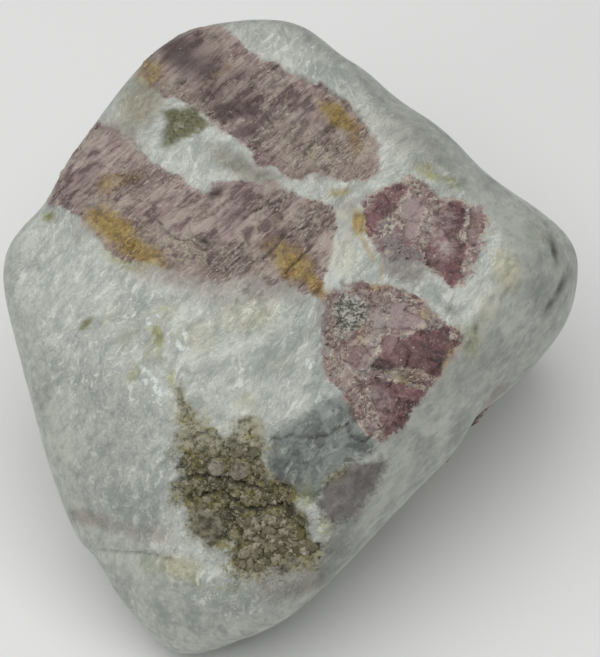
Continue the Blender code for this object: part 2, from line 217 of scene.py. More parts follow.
# Soft patches of each tint: right, up, half length, half width, turn in degrees, strength
TINTS = {
    "honey": [
        (-22.2, 12.0, 3.0, 1.7, -35, 1.15), (-19.2, 9.3, 3.2, 1.2, -28, 1.0),
        (-23.0, 17.2, 1.4, 1.1, 30, 0.6), (-21.0, 17.8, 2.6, 1.0, 10, 0.45),
        (-1.0, 8.0, 2.8, 1.9, -42, 1.0), (1.9, 5.2, 1.8, 0.9, -52, 1.0), (-3.2, 10.2, 1.6, 1.0, 10, 0.5),
        (-17.8, 30.2, 1.9, 1.4, 60, 0.6), (4.6, 16.2, 1.6, 0.7, 8, 0.6), (6.8, 12.5, 0.75, 1.6, 12, 1.2),
        (7.9, 9.4, 0.45, 2.2, 24, 0.6), (5.4, 13.6, 1.4, 1.0, 20, 0.35), (9.6, 6.6, 0.4, 1.2, 0, 0.5),
        (4.6, 24.8, 2.8, 1.0, -38, 1.0), (13.4, -5.4, 1.4, 0.4, -24, 0.35), (6.6, 22.0, 0.8, 2.0, 10, 0.5),
        (9.0, 4.8, 1.2, 0.5, 0, 0.5), (-9.4, 30.2, 3.2, 0.35, 30, 0.4), (7.2, -0.4, 0.5, 1.6, 0, 0.35),
        (17.4, -3.6, 0.5, 1.6, -20, 0.5), (14.4, 1.6, 0.8, 0.8, 0, 0.4),
    ],
    "green": [
        (-29.7, 13.1, 0.8, 0.55, 20, 1.0), (-16.9, -0.9, 1.5, 0.5, -75, 1.0),
        (-16.6, -3.4, 1.4, 0.35, -80, 0.6), (-25.2, 0.6, 0.9, 0.5, 40, 0.9),
        (-19.2, -4.6, 1.2, 0.5, -65, 0.5), (14.9, 18.0, 2.2, 0.9, -28, 0.6),
        (17.4, 17.0, 1.6, 0.8, -30, 0.55), (20.2, -1.6, 1.3, 2.4, 0, 0.5),
        (13.0, -6.2, 1.5, 0.6, -24, 0.9), (18.6, -0.2, 1.0, 1.0, 0, 0.3),
        (-20.6, 7.8, 3.0, 0.9, -24, 0.55), (2.0, 15.0, 1.5, 0.8, -10, 0.35),
        (-17.4, -28.4, 2.6, 1.0, -10, 0.35), (4.2, -17.6, 2.0, 0.8, 30, 0.7),
        (-12.8, -30.0, 1.6, 0.6, -20, 0.45), (-6.6, -8.6, 1.4, 1.2, 0, 0.4),
        (-5.0, -12.4, 0.8, 1.6, -10, 0.6), (0.6, -19.6, 1.4, 1.6, -30, 0.6),
        (3.2, -23.6, 1.2, 1.4, 0, 0.5), (-15.2, -6.0, 0.5, 1.6, 0, 0.6), (-16.0, 2.4, 1.6, 0.8, 20, 0.35),
        (-8.0, -30.6, 3.0, 0.8, 10, 0.4), (-4.6, 1.2, 2.2, 1.0, 30, 0.25), (0.8, -0.4, 1.2, 0.7, 20, 0.25),
        (28.0, 11.0, 1.8, 1.0, -40, 0.3), (-17.6, -2.4, 0.9, 2.2, -10, 0.4),
        (-19.6, -5.6, 0.8, 0.9, 0, 0.6), (-20.4, -1.2, 1.8, 1.0, 40, 0.35),
        (-22.6, 1.4, 1.8, 0.5, 45, 0.35), (-14.4, -29.0, 1.8, 0.8, -10, 0.35),
    ],
    "mauve": [
        (-24.6, -22.6, 3.4, 1.0, -12, 0.75), (-18.6, -24.2, 4.4, 1.2, -8, 0.55),
        (-10.0, 4.4, 4.0, 1.8, -6, 0.6), (-4.6, 5.0, 4.0, 1.8, 0, 0.85), (-0.6, 3.6, 2.4, 1.0, -20, 0.5),
        (-15.4, 6.0, 5.0, 1.5, -12, 0.7), (5.6, 11.2, 1.4, 2.2, 20, 0.4), (-0.6, 24.6, 1.8, 3.2, -35, 0.4),
        (-25.2, 11.6, 2.0, 1.2, 40, 0.55), (-20.4, 22.8, 3.4, 1.2, -36, 0.5), (2.6, 1.6, 1.0, 2.6, 0, 0.6),
        (23.2, -7.8, 2.4, 0.5, 42, 1.0), (5.4, 14.6, 1.6, 1.0, 0, 0.5), (-3.6, 18.6, 2.6, 0.8, -12, 0.5),
        (-24.4, 14.4, 1.6, 1.4, 30, 0.6), (16.8, 9.7, 1.1, 1.5, 0, 1.0), (16.4, 12.6, 1.6, 1.6, 0, 0.7),
        (11.0, -1.6, 1.4, 0.8, 20, 0.4), (9.4, -8.6, 1.2, 1.6, 30, 0.5), (12.2, 7.2, 2.6, 1.8, -20, 0.95),
        (10.4, 9.4, 1.4, 1.6, 0, 0.7), (10.0, 1.4, 3.2, 1.6, 60, 0.45), (-19.2, 26.0, 2.0, 0.8, -30, 0.3),
    ],
    "shade": [
        (-13.8, 33.2, 5.4, 3.0, -32, 0.9), (-10.4, 29.0, 5.0, 3.0, -35, 0.7),
        (-24.0, -13.0, 9.0, 6.0, 80, 0.28), (-21.0, 10.8, 3.0, 1.4, -32, 0.25),
        (4.0, 34.0, 6.0, 2.4, -24, 0.35), (-17.6, 30.8, 2.2, 2.2, 0, 0.5),
        (-6.0, 27.0, 3.6, 2.4, 30, 0.15), (-0.6, -29.9, 4.6, 1.9, 16, 1.1),
        (4.4, -26.0, 2.6, 2.0, 40, 0.6), (9.6, -21.6, 3.0, 1.0, 44, 0.3), (-8.0, -33.6, 4.0, 1.6, 0, 0.35),
        (13.0, 22.0, 7.0, 3.0, -38, 0.5), (-18.4, 26.6, 4.4, 2.2, 56, 0.75),
        (-7.0, 19.6, 4.4, 1.4, -26, 0.75), (14.0, -3.6, 3.0, 2.4, 0, 0.65), (9.6, -8.4, 1.8, 2.4, 0, 0.3),
        (27.6, 7.0, 2.6, 5.0, -14, 0.2), (-17.6, -21.6, 2.6, 3.0, 0, 0.25), (5.0, -9.4, 1.4, 1.4, 0, 0.4),
        (-8.6, -13.6, 1.0, 1.0, 0, 0.3), (21.4, -12.4, 4.4, 0.7, 42, 0.3),
    ],
    "pepper": [
        (6.0, 1.9, 2.0, 2.3, 0, 1.0), (4.8, -0.4, 1.2, 1.4, 0, 0.5),
    ],
    "cream": [
        (-6.5, 1.5, 4.5, 2.2, 10, 0.6), (-12.0, -1.0, 3.0, 2.0, 0, 0.5), (24.2, 6.9, 1.6, 2.4, 10, 0.9),
        (10.2, 11.8, 0.6, 1.9, -32, 1.0), (-2.6, -4.0, 2.0, 1.0, 0, 0.4),
        (-14.4, -28.4, 2.4, 1.4, -10, 0.9), (-17.0, 1.0, 3.0, 1.6, 20, 0.4), (5.0, 8.6, 2.0, 2.4, 40, 0.5),
        (-21.6, 8.6, 2.4, 0.8, -24, 0.5), (-18.6, 26.6, 4.0, 2.2, 56, 0.8),
        (-7.4, 19.4, 4.0, 1.4, -26, 0.5), (22.0, 2.4, 1.6, 2.6, 0, 0.5),
    ],
    "tan": [
        (1.5, 21.0, 4.8, 2.6, -38, 0.9), (6.4, 20.6, 2.4, 3.2, 0, 0.75), (-14.6, 9.6, 5.0, 1.7, -18, 1.0),
        (-6.8, 8.2, 3.6, 2.2, 0, 0.7), (-22.4, 15.4, 2.6, 2.2, 0, 0.7), (-1.6, 11.6, 3.4, 2.6, 0, 0.45),
        (-14.4, 27.6, 4.6, 0.9, -34, 0.8), (-9.0, 30.0, 3.4, 0.8, 26, 0.35),
        (-11.6, 14.2, 3.0, 1.0, 20, 0.35),
    ],
    "light": [
        (9.8, 14.0, 3.6, 2.6, 45, 1.0), (17.4, 10.8, 2.2, 5.0, 10, 0.6), (16.8, 9.6, 0.9, 1.1, 0, 1.0),
        (10.2, -8.6, 2.2, 3.6, 20, 0.7),
    ],
    "snow": [
        (-26.4, 6.0, 5.0, 3.4, 20, 0.5), (-12.6, 2.6, 4.4, 1.4, 8, 0.45),
        (-13.4, -3.4, 2.0, 1.4, -30, 0.5), (-7.0, -2.6, 2.2, 1.3, 20, 0.6), (-3.0, -7.4, 1.6, 1.2, 0, 0.5),
        (3.8, 6.6, 1.8, 1.2, 50, 0.7), (24.6, 7.6, 1.5, 2.2, 10, 0.8), (14.6, 17.2, 0.8, 0.7, 0, 0.8),
        (8.0, 16.9, 1.0, 0.25, 35, 0.8), (22.0, 3.6, 2.4, 2.6, 0, 0.8), (25.0, 2.6, 3.4, 2.4, -50, 0.5),
        (-9.4, 22.2, 3.4, 1.2, -32, 0.45), (-9.0, -29.0, 2.2, 0.3, 26, 0.8),
        (-10.6, -27.4, 0.5, 0.25, 0, 0.8), (-21.0, -26.4, 1.4, 0.2, -8, 0.7),
        (-27.4, 0.8, 2.2, 0.3, 14, 0.5), (-8.6, -11.6, 0.9, 0.5, 20, 0.5), (18.6, -9.0, 5.0, 0.8, 46, 0.3),
        (-13.0, -10.0, 0.5, 0.9, 0, 0.5),
    ],
    "grey": [
        (0.5, 3.2, 2.0, 1.0, 0, 0.5), (-3.6, -4.6, 1.6, 3.2, -18, 0.5), (-1.2, -1.2, 1.4, 1.8, 0, 0.5),
        (1.8, -5.8, 1.4, 2.6, 0, 0.55), (-11.0, -5.6, 1.8, 1.4, 30, 0.4),
        (-18.4, 26.6, 4.4, 2.0, 56, 0.55), (-7.0, 19.6, 4.4, 1.0, -26, 0.5),
        (15.2, 4.2, 2.2, 1.0, -30, 0.5), (-12.0, -8.8, 1.0, 1.4, 0, 0.6), (-9.2, -9.4, 0.8, 1.6, 0, 0.4),
        (22.4, 17.0, 1.2, 0.9, 0, 0.7), (28.0, 5.0, 2.2, 4.2, -16, 0.35),
        (-22.0, -14.0, 3.2, 5.4, 20, 0.3), (-20.0, -20.6, 4.6, 3.0, 0, 0.55),
        (6.6, -26.6, 4.0, 3.0, 40, 0.5), (13.0, -18.6, 3.0, 1.6, 44, 0.35),
        (-28.4, 3.4, 1.4, 2.4, 0, 0.25), (17.0, -1.4, 0.9, 1.0, 0, 0.3), (-5.0, -31.6, 4.0, 2.0, 0, 0.35),
        (19.6, 22.0, 2.2, 5.0, -38, 0.25), (8.0, 29.0, 5.0, 2.0, -40, 0.2),
    ],
}

# Dark pits and marks: right, up, half length, half width, turn in degrees, depth, darkness: painted shade in
# the pits, and the own dark colour of the marks
PITS = [
    (-10.3, 16.4, 0.8, 0.35, 25, 0.4, 0.9), (0.8, 12.4, 1.0, 0.35, 25, 0.3, 0.6),
    (-11.4, 10.6, 0.6, 0.3, 0, 0.3, 0.8), (-9.0, 10.2, 1.2, 0.3, -15, 0.25, 0.5),
    (1.2, 10.2, 0.7, 0.3, 30, 0.25, 0.5), (9.7, -4.9, 1.5, 0.28, -20, 0.8, 1.0),
    (12.6, -5.6, 1.3, 0.35, -30, 0.4, 0.5), (30.2, 9.2, 1.7, 0.46, -76, 0.12, 1.0),
    (31.1, 5.0, 1.6, 0.42, 66, 0.12, 1.0), (29.8, 2.8, 1.3, 0.40, 60, 0.1, 0.9),
    (-25.0, 0.9, 0.9, 0.4, 45, 0.2, 0.45), (20.6, 0.0, 0.2, 0.5, 0, 0.2, 0.7),
    (12.4, 8.6, 1.0, 0.5, 10, 0.3, 0.5), (-15.5, 22.8, 0.5, 1.2, -20, 0.3, 0.35),
    (17.6, 2.2, 0.8, 0.6, 0, 0.3, 0.5), (7.7, -6.5, 0.5, 0.3, 0, 0.3, 0.6),
    (15.4, 7.8, 0.5, 0.8, 0, 0.3, 0.6), (14.6, 9.2, 0.5, 0.4, 0, 0.2, 0.4),
    (22.3, 17.0, 0.4, 0.5, 0, 0.1, 0.3), (28.6, 13.0, 1.4, 0.25, -50, 0.1, 0.3),
    (-29.6, 13.2, 0.4, 0.35, 20, 0.15, 0.35), (-21.8, 3.2, 0.6, 0.15, 52, 0.1, 0.35),
    (-23.8, 2.6, 0.9, 0.12, 44, 0.1, 0.3), (-20.0, 5.0, 0.7, 0.12, 50, 0.1, 0.3),
    (-14.6, 7.2, 0.7, 0.3, -10, 0.12, 0.3), (-31.0, 7.6, 0.4, 0.6, 0, 0.15, 0.4),
    (5.0, 5.4, 0.3, 0.5, 0, 0.2, 0.4),
]

# Open cracks: points right and up, width, depth, and darkness of the shade painted in them
CRACKS = [
    ([(-3.3, -13.2), (-1.4, -12.8), (1.4, -13.1), (3.3, -12.8), (5.3, -11.4),
      (6.6, -11.0)], 0.16, 0.25, 0.65),
    ([(1.4, -13.1), (2.4, -14.3), (1.4, -15.8), (0.5, -16.8)], 0.10, 0.15, 0.3),
    ([(5.3, -11.4), (6.0, -12.8), (7.6, -13.4), (9.0, -12.2)], 0.16, 0.25, 0.7),
    ([(6.4, -8.2), (6.0, -9.8), (6.6, -11.0)], 0.20, 0.25, 0.8),
    ([(-3.1, 30.9), (-1.4, 30.5), (0.2, 29.6), (1.9, 28.8), (3.8, 27.7), (5.7, 26.3),
      (7.3, 24.8)], 0.16, 0.3, 0.55),
    ([(-25.0, 23.8), (-21.8, 23.4), (-19.6, 22.2), (-18.2, 20.1)], 0.10, 0.15, 0.4),
    ([(-24.0, -26.6), (-17.5, -27.3), (-15.2, -28.0)], 0.14, 0.3, 0.25),
    ([(-16.9, 12.9), (-15.5, 11.0), (-12.9, 10.4), (-11.4, 9.6), (-10.4, 10.6)], 0.12, 0.2, 0.6),
    ([(-9.8, 15.3), (-8.4, 14.0), (-8.8, 12.2), (-10.4, 11.3)], 0.08, 0.12, 0.3),
    ([(2.1, -25.6), (3.2, -26.6), (4.4, -26.4)], 0.12, 0.25, 0.35),
    ([(-14.8, 28.4), (-13.0, 29.8)], 0.14, 0.35, 0.6),
    ([(-12.8, 27.4), (-11.4, 28.6), (-10.2, 30.4)], 0.14, 0.35, 0.6),
    ([(-9.6, 24.0), (-7.8, 25.4), (-5.2, 27.2)], 0.14, 0.35, 0.6),
    ([(-6.2, 22.2), (-4.0, 24.4), (-1.4, 26.4)], 0.14, 0.35, 0.6),
    ([(0.4, 20.8), (1.8, 22.4), (4.4, 24.4)], 0.18, 0.40, 0.8),
    ([(-20.8, 20.8), (-19.0, 21.6), (-17.6, 19.6)], 0.12, 0.25, 0.5),
    ([(-6.6, 13.4), (-4.8, 14.8), (-2.2, 15.6)], 0.16, 0.35, 0.75),
    ([(-4.4, 8.6), (-2.8, 10.4), (-0.6, 12.2)], 0.16, 0.40, 0.8),
    ([(-1.6, 7.0), (0.2, 8.8), (1.6, 10.2)], 0.16, 0.40, 0.8),
    ([(-12.8, 12.8), (-11.0, 13.4), (-9.8, 14.6)], 0.12, 0.25, 0.5),
]
# Crevices in the pocket's floor: points right and up, width, depth; shade is painted in each
CREVICES = [
    ([(-8.2, -21.2), (-6.9, -22.4), (-5.0, -22.2), (-3.2, -22.3), (-1.4, -21.9)], 0.42, 1.0),
    ([(-1.4, -21.9), (-0.5, -23.7), (1.1, -25.1), (2.5, -25.7)], 0.28, 0.7),
    ([(-5.0, -23.9), (-4.0, -24.6), (-2.7, -25.5)], 0.22, 0.5),
    ([(-6.5, -25.7), (-5.6, -26.2), (-4.7, -27.4)], 0.22, 0.5),
    ([(-14.0, -18.4), (-12.2, -18.0), (-10.2, -18.6), (-8.6, -18.6)], 0.35, 0.7),
    ([(-14.2, -20.6), (-12.6, -20.4), (-11.4, -20.8)], 0.3, 0.5),
    ([(-7.5, -19.0), (-5.4, -19.6), (-3.6, -20.4)], 0.35, 0.8),
    ([(-11.5, -20.6), (-9.6, -20.2), (-8.2, -21.0)], 0.35, 0.8),
    ([(-8.4, -22.6), (-7.6, -24.2), (-6.6, -25.6)], 0.26, 0.6),
    ([(-3.2, -24.4), (-2.0, -26.2), (-0.6, -27.2)], 0.20, 0.5),
]

# The step that is chipped out low on the left
LEDGE = [(-24.0, -26.6), (-17.5, -27.3), (-12.8, -29.2), (-8.2, -27.6)]
LEDGE_WIDTH = 0.9
LEDGE_DEPTH = 0.55

# The pocket's sunken floor, and its three largest grains: right, up, radius and height
POCKET_DEPTH = 1.1
POCKET_WALL = 1.3
GRAIN_UNEVENNESS = 0.24
ROUND_GRAIN = (-11.0, -23.8, 2.5, 1.35)
GLASSY_GRAIN = (-7.4, -17.2, 1.4, 0.95)
ROSY_GRAIN = (-10.0, -16.8, 1.05, 0.85)
LARGE_GRAINS = (ROUND_GRAIN, GLASSY_GRAIN, ROSY_GRAIN)

# Turn of the bands' striations as seen from the show side and about Z, and where the bands are smooth
STRIATION_TURN = 37
STRIATION_TURN_ABOUT_Z = 43.7
STRIATION_ANGLE = math.radians(STRIATION_TURN_ABOUT_Z)
STRIATION_ALONG = np.array([math.cos(STRIATION_ANGLE), math.sin(STRIATION_ANGLE), 0.0])
SMOOTH_PATCHES = [
    (-13.8, 33.0, 4.6, 2.8, -35, 1.0), (-25.6, 19.0, 2.4, 3.0, 0, 0.6), (-8.2, 13.6, 2.0, 2.4, 0, 0.5),
]

# Facets of the broken surfaces: size, seed, stretch and its turn, height, and depth and width of their seams
FACETS = {
    "scales": (1.3, 4, 3.0, 52, 0.16, 0.10, 0.18),
    "rungs": (1.25, 5, 2.6, STRIATION_TURN, 0.34, 0.24, 0.22),
    "slivers": (0.55, 15, 2.8, STRIATION_TURN, 0.15, 0.10, 0.3),
    "lumps": (2.4, 6, 1.0, 0, 0.46, 0.28, 0.12),
    "chips": (0.75, 7, 1.0, 0, 0.22, 0.16, 0.3),
    "crumbs": (1.5, 8, 1.0, 0, 0.30, 0.25, 0.2),
    "grit": (0.6, 9, 1.0, 0, 0.12, 0.08, 0.25),
}

# The skin: grid squares along each side of the ball's cube, and how far they crowd towards the show side
SKIN_SQUARES = 127
CROWDING = 0.3
FIELD_LIMIT = 3.0

# Grains keep this far above the floor, so that none of them lifts the stone
GRAINS_ABOVE_FLOOR = 1.2

STONE_IOR = 1.54

# The floor, the camera and the even fill light
FLOOR_HALF = 900
FLOOR_GAP = 0.05
FLOOR_WHITE = 0.93
SENSOR_WIDTH = 36.0
CLIP_NEAR = 10
CLIP_FAR = 5000
WORLD_LIGHT = 0.295

# Each lamp: place from the heart, width and power
LAMPS = {
    "softbox_above": ((-70, -40, 540), 640, 2.12),
    "softbox_front_left": ((-380, -320, 260), 260, 0.22),
}


def facing(bearing, slope):
    """Unit vector that points along a bearing and a slope above level."""
    b, s = math.radians(bearing), math.radians(slope)
    return np.array([math.sin(b) * math.cos(s), -math.cos(b) * math.cos(s), math.sin(s)])


SHOW_TOWARDS = facing(0, SHOW_SLOPE)
SHOW_UP = facing(180, 90 - SHOW_SLOPE)
SHOW_RIGHT = np.array([1.0, 0.0, 0.0])
AIM = HEART + (AIM_RIGHT * SHOW_RIGHT + AIM_UP * SHOW_UP) * MM


def seen_from_show_side(points):
    """Millimetres right and up from the aim point at which points are seen from the show side."""
    offset = (points - AIM) / MM
    scale = SHOW_DISTANCE / (SHOW_DISTANCE - offset @ SHOW_TOWARDS)
    return np.stack([offset @ SHOW_RIGHT * scale, offset @ SHOW_UP * scale], axis=1)


def smooth_noise(points, grain, seed):
    """Noise between -1 and 1: random values on a cubic lattice of this grain, blended between its corners."""
    at = points / (grain * MM)
    cell = np.floor(at).astype(np.int64)
    blend = at - cell
    blend = blend * blend * (3 - 2 * blend)
    total = np.zeros(len(points))
    for corner in np.ndindex(2, 2, 2):
        x, y, z = (cell + corner).T
        mixed = ((x * 73856093) ^ (y * 19349663) ^ (z * 83492791) ^ (seed * 2654435)) & 0x7FFFFFFF
        mixed = ((mixed ^ (mixed >> 13)) * 1274126177) & 0x7FFFFFFF
        value = (mixed ^ (mixed >> 16)) / 0x3FFFFFFF - 1
        total += value * np.prod(np.where(corner, blend, 1 - blend), axis=1)
    return total


def layered_noise(points, grain, seed, layers=3):
    """Sum of smooth noises, each with half the grain and half the height of the one before."""
    return sum(smooth_noise(points, grain / 2**k, seed + k) / 2**k for k in range(layers))


def drift(points, grain, seed):
    """Two layered noises side by side, which push seen points right and up."""
    return np.stack([layered_noise(points, grain, seed), layered_noise(points, grain, seed + 10)], axis=1)


def ramp(value, start, end):
    """0 before start, 1 after end, and a smooth rise between them."""
    t = np.clip((value - start) / (end - start), 0, 1)
    return t * t * (3 - 2 * t)


def on_show_side(normals):
    """1 on the show side, 0 on the hidden sides, and a smooth change at the stone's outline."""
    return ramp(normals @ SHOW_TOWARDS, -0.03, 0.10)


def distance_to_grain(seen, grain):
    """Distance of each seen point from the middle of one of the pocket's large grains."""
    return np.hypot(seen[:, 0] - grain[0], seen[:, 1] - grain[1])


def distance_to_line(seen, line):
    """Distance of each seen point from a line of straight pieces."""
    nearest = np.full(len(seen), np.inf)
    for a, b in zip(np.array(line[:-1]), np.array(line[1:])):
        along = np.clip((seen - a) @ (b - a) / ((b - a) @ (b - a)), 0, 1)
        nearest = np.minimum(nearest, np.hypot(*(seen - a - along[:, None] * (b - a)).T))
    return nearest


def depth_inside(seen, outline):
    """Distance of each seen point inside a closed outline, negative outside it."""
    x, y = seen.T
    inside = np.zeros(len(seen), bool)
    for (ax, ay), (bx, by) in zip(outline, outline[1:] + outline[:1]):
        if ay != by:
            crosses = (ay > y) != (by > y)
            inside ^= crosses & (x < (bx - ax) * (y - ay) / (by - ay) + ax)
    return np.where(inside, 1, -1) * distance_to_line(seen, outline + outline[:1])


def patch_distance(seen, right, up, half_long, half_short, turn):
    """Distance from an ellipse's middle in units of its half-widths: 1 on its rim."""
    t = math.radians(turn)
    x, y = seen[:, 0] - right, seen[:, 1] - up
    along = (x * math.cos(t) + y * math.sin(t)) / half_long
    across = (y * math.cos(t) - x * math.sin(t)) / half_short
    return np.hypot(along, across)


def patch_strength(seen, patches):
    """The strongest of several soft ellipses: each is its strength times a bell of the distance from it."""
    strength = np.zeros(len(seen))
    for right, up, half_long, half_short, turn, amount in patches:
        away = patch_distance(seen, right, up, half_long, half_short, turn)
        strength = np.maximum(strength, amount * np.exp(-0.7 * away**3))
    return strength


def scattered(cell, seed):
    """Random values between 0 and 1, one for each whole-numbered cell."""
    x, y = cell.T
    mixed = ((x * 73856093) ^ (y * 19349663) ^ (seed * 2654435)) & 0x7FFFFFFF
    mixed = ((mixed ^ (mixed >> 13)) * 1274126177) & 0x7FFFFFFF
    mixed = ((mixed ^ (mixed >> 15)) * 1103515245) & 0x7FFFFFFF
    return (mixed ^ (mixed >> 16)) / 0x7FFFFFFF


def facet_steps(seen, size, seed, stretch=1.0, turn=0.0):
    """Flat tilted facets of about unit height: each point takes the plane of the nearest scattered centre.

    There is one centre in each square of a grid. stretch lengthens the facets along a direction that is
    turned up from the right by turn degrees. Also returns how near each point is to the border between two
    facets, in facet sizes, and a random value for each facet.
    """
    t = math.radians(turn)
    along = (seen[:, 0] * math.cos(t) + seen[:, 1] * math.sin(t)) / (stretch * size)
    across = (seen[:, 1] * math.cos(t) - seen[:, 0] * math.sin(t)) / size
    at = np.stack([along, across], axis=1)
    cell = np.floor(at).astype(np.int64)
    nearest = np.full(len(at), np.inf)
    second = np.full(len(at), np.inf)
    height = np.zeros(len(at))
    tone = np.zeros(len(at))
    for step in np.ndindex(3, 3):
        here = cell + np.array(step) - 1
        away = at - here - np.stack([scattered(here, seed), scattered(here, seed + 100)], axis=1)
        apart = np.hypot(*away.T)
        plane = 1.4 * scattered(here, seed + 200) - 0.7
        plane += away[:, 0] * (1.2 * scattered(here, seed + 300) - 0.6)
        plane += away[:, 1] * (1.2 * scattered(here, seed + 400) - 0.6)
        closer = apart < nearest
        second = np.where(closer, nearest, np.minimum(second, apart))
        height = np.where(closer, plane, height)
        tone = np.where(closer, scattered(here, seed + 500), tone)
        nearest = np.where(closer, apart, nearest)
    return height, second - nearest, tone


def groove(border, width):
    """A V-shaped seam along the facets' borders: 1 on the border and 0 from its width on."""
    return np.clip(1 - border / width, 0, 1)


def broken_surface(seen, kind):
    """Relief of one kind of facets in millimetres, steps less seams. Also their steps, borders and tones."""
    size, seed, stretch, turn, height, seam_depth, seam_width = FACETS[kind]
    steps, border, tone = facet_steps(seen, size, seed, stretch, turn)
    return height * steps - seam_depth * groove(border, seam_width), steps, border, tone


def lump_form(directions):
    """Distance from the heart to the rounded lump, and its outward normals.

    The distance is a high power mean of the distances to the flats' planes. The normal leans to each flat
    by the share that the flat has in that mean.
    """
    total = np.zeros(len(directions))
    normals = np.zeros((len(directions), 3))
    for bearing, slope, distance in FLATS.values():
        out = facing(bearing, slope)
        lean = np.maximum(0, directions @ out) / (distance * MM)
        total += lean**EDGE_CRISPNESS
        normals += (lean ** (EDGE_CRISPNESS - 1) / distance)[:, None] * out
    normals /= np.linalg.norm(normals, axis=1, keepdims=True)
    return total ** (-1 / EDGE_CRISPNESS), normals


def hollow_depth(directions):
    """Depth of the rim's hollows: each is a bell shape of the angle from its middle."""
    depth = np.zeros(len(directions))
    for clock, lean, width, deep in HOLLOWS.values():
        c, t = math.radians(clock), math.radians(lean)
        middle = (SHOW_RIGHT * math.cos(c) + SHOW_UP * math.sin(c)) * math.cos(t) + SHOW_TOWARDS * math.sin(t)
        angle = np.degrees(np.arccos(np.clip(directions @ middle, -1, 1)))
        depth += deep * MM * np.exp(-((angle / width) ** 2))
    return depth


def block_depth(points, blocks):
    """Depth inside the nearest of several turned blocks with well rounded corners, negative outside them."""
    depth = np.full(len(points), -FIELD_LIMIT)
    for middle, turn, halves in blocks:
        t = math.radians(turn)
        x, y, z = ((points - HEART) / MM - middle).T
        own = np.stack([x * math.cos(t) + y * math.sin(t), y * math.cos(t) - x * math.sin(t), z])
        away = ((np.abs(own) / np.array(halves)[:, None]) ** 3).sum(axis=0) ** (1 / 3)
        depth = np.maximum(depth, (1 - away) * min(halves))
    return depth


def ball_of_squares(squares):
    """Directions and faces of a ball of grid squares.

    Each side of a cube is a grid of two parameters that run from -45 to 45 degrees. Its points are scaled
    to unit length, and the sides' shared edges are joined. The third axis of the cube points to the show
    side, and adding a part of that axis to every direction crowds the squares there.
    """
    angle = np.linspace(-math.pi / 4, math.pi / 4, squares + 1)
    a, b = np.meshgrid(np.tan(angle), np.tan(angle), indexing="ij")
    one = np.ones_like(a)
    sides = [(one, a, b), (-one, b, a), (b, one, a), (a, -one, b), (a, b, one), (b, a, -one)]
    points = np.concatenate([np.stack(side, axis=-1).reshape(-1, 3) for side in sides])
    corner = np.arange((squares + 1) ** 2).reshape(squares + 1, squares + 1)
    around = [corner[:-1, :-1], corner[1:, :-1], corner[1:, 1:], corner[:-1, 1:]]
    face = np.stack(around, axis=-1).reshape(-1, 4)
    faces = np.concatenate([face + k * corner.size for k in range(len(sides))])
    _, kept, joined = np.unique(np.round(points, 7), axis=0, return_index=True, return_inverse=True)
    points, faces = points[kept], joined.reshape(-1)[faces]
    points /= np.linalg.norm(points, axis=1, keepdims=True)
    axes = np.stack([SHOW_RIGHT, SHOW_UP, SHOW_TOWARDS])
    directions = points @ axes + CROWDING * SHOW_TOWARDS
    return directions / np.linalg.norm(directions, axis=1, keepdims=True), faces


def limited(depth):
    """A depth field held within the limit that the finish needs."""
    return np.clip(depth, -FIELD_LIMIT, FIELD_LIMIT)


def stone_fields(points, normals):
    """Fields of the stone's skin: depths inside each zone in millimetres, and strengths of the soft tints."""
    drawn = seen_from_show_side(points)
    seen = drawn + 0.30 * drift(points, 2.2, 31)
    frayed = seen + 0.55 * drift(points, 1.7, 33)
    shown = on_show_side(normals)

    def zone(outlines, blocks=(), at=seen):
        flat = np.max([depth_inside(at, outline) for outline in outlines], axis=0)
        hidden = block_depth(points, blocks) + 1.5 * layered_noise(points, 5.0, 51)
        return limited(flat) * shown + limited(hidden) * (1 - shown)

    wine_blocks = [(middle, turn, [0.6 * half for half in halves]) for middle, turn, halves in CLUSTER_BLOCKS]
    flakes = np.max([depth_inside(drawn, outline) for outline in GLINTING_FLAKES], axis=0)
    on_top = ramp(normals @ facing(*FLATS["top"][:2]), 0.75, 0.95)
    on_front = ramp(normals @ facing(*FLATS["front"][:2]), 0.85, 0.98)
    fields = {
        "band": zone([UPPER_BAND, LOWER_BAND], BAND_BLOCKS, at=0.4 * seen + 0.6 * frayed),
        "cluster": zone([RIGHT_CLUSTER, LOWER_CLUSTER], CLUSTER_BLOCKS, at=0.5 * (seen + frayed)),
        "wine": zone(WINE_CRYSTALS, wine_blocks),
        "rosy": zone(ROSY_CRYSTALS),
        "plum": zone(PLUM_LENSES),
        "flake": limited(flakes) - FIELD_LIMIT * (1 - shown),
        "pocket": zone([POCKET], at=frayed),
        "quartz": zone([BLUE_QUARTZ]),
        "olive": zone([OLIVE_PATCH]),
        "mauve_corner": zone([MAUVE_CORNER]),
        "lively": np.maximum(on_top, on_front),
    }
    for tint, patches in TINTS.items():
        fields[tint] = patch_strength(seen, patches) * shown
    return fields


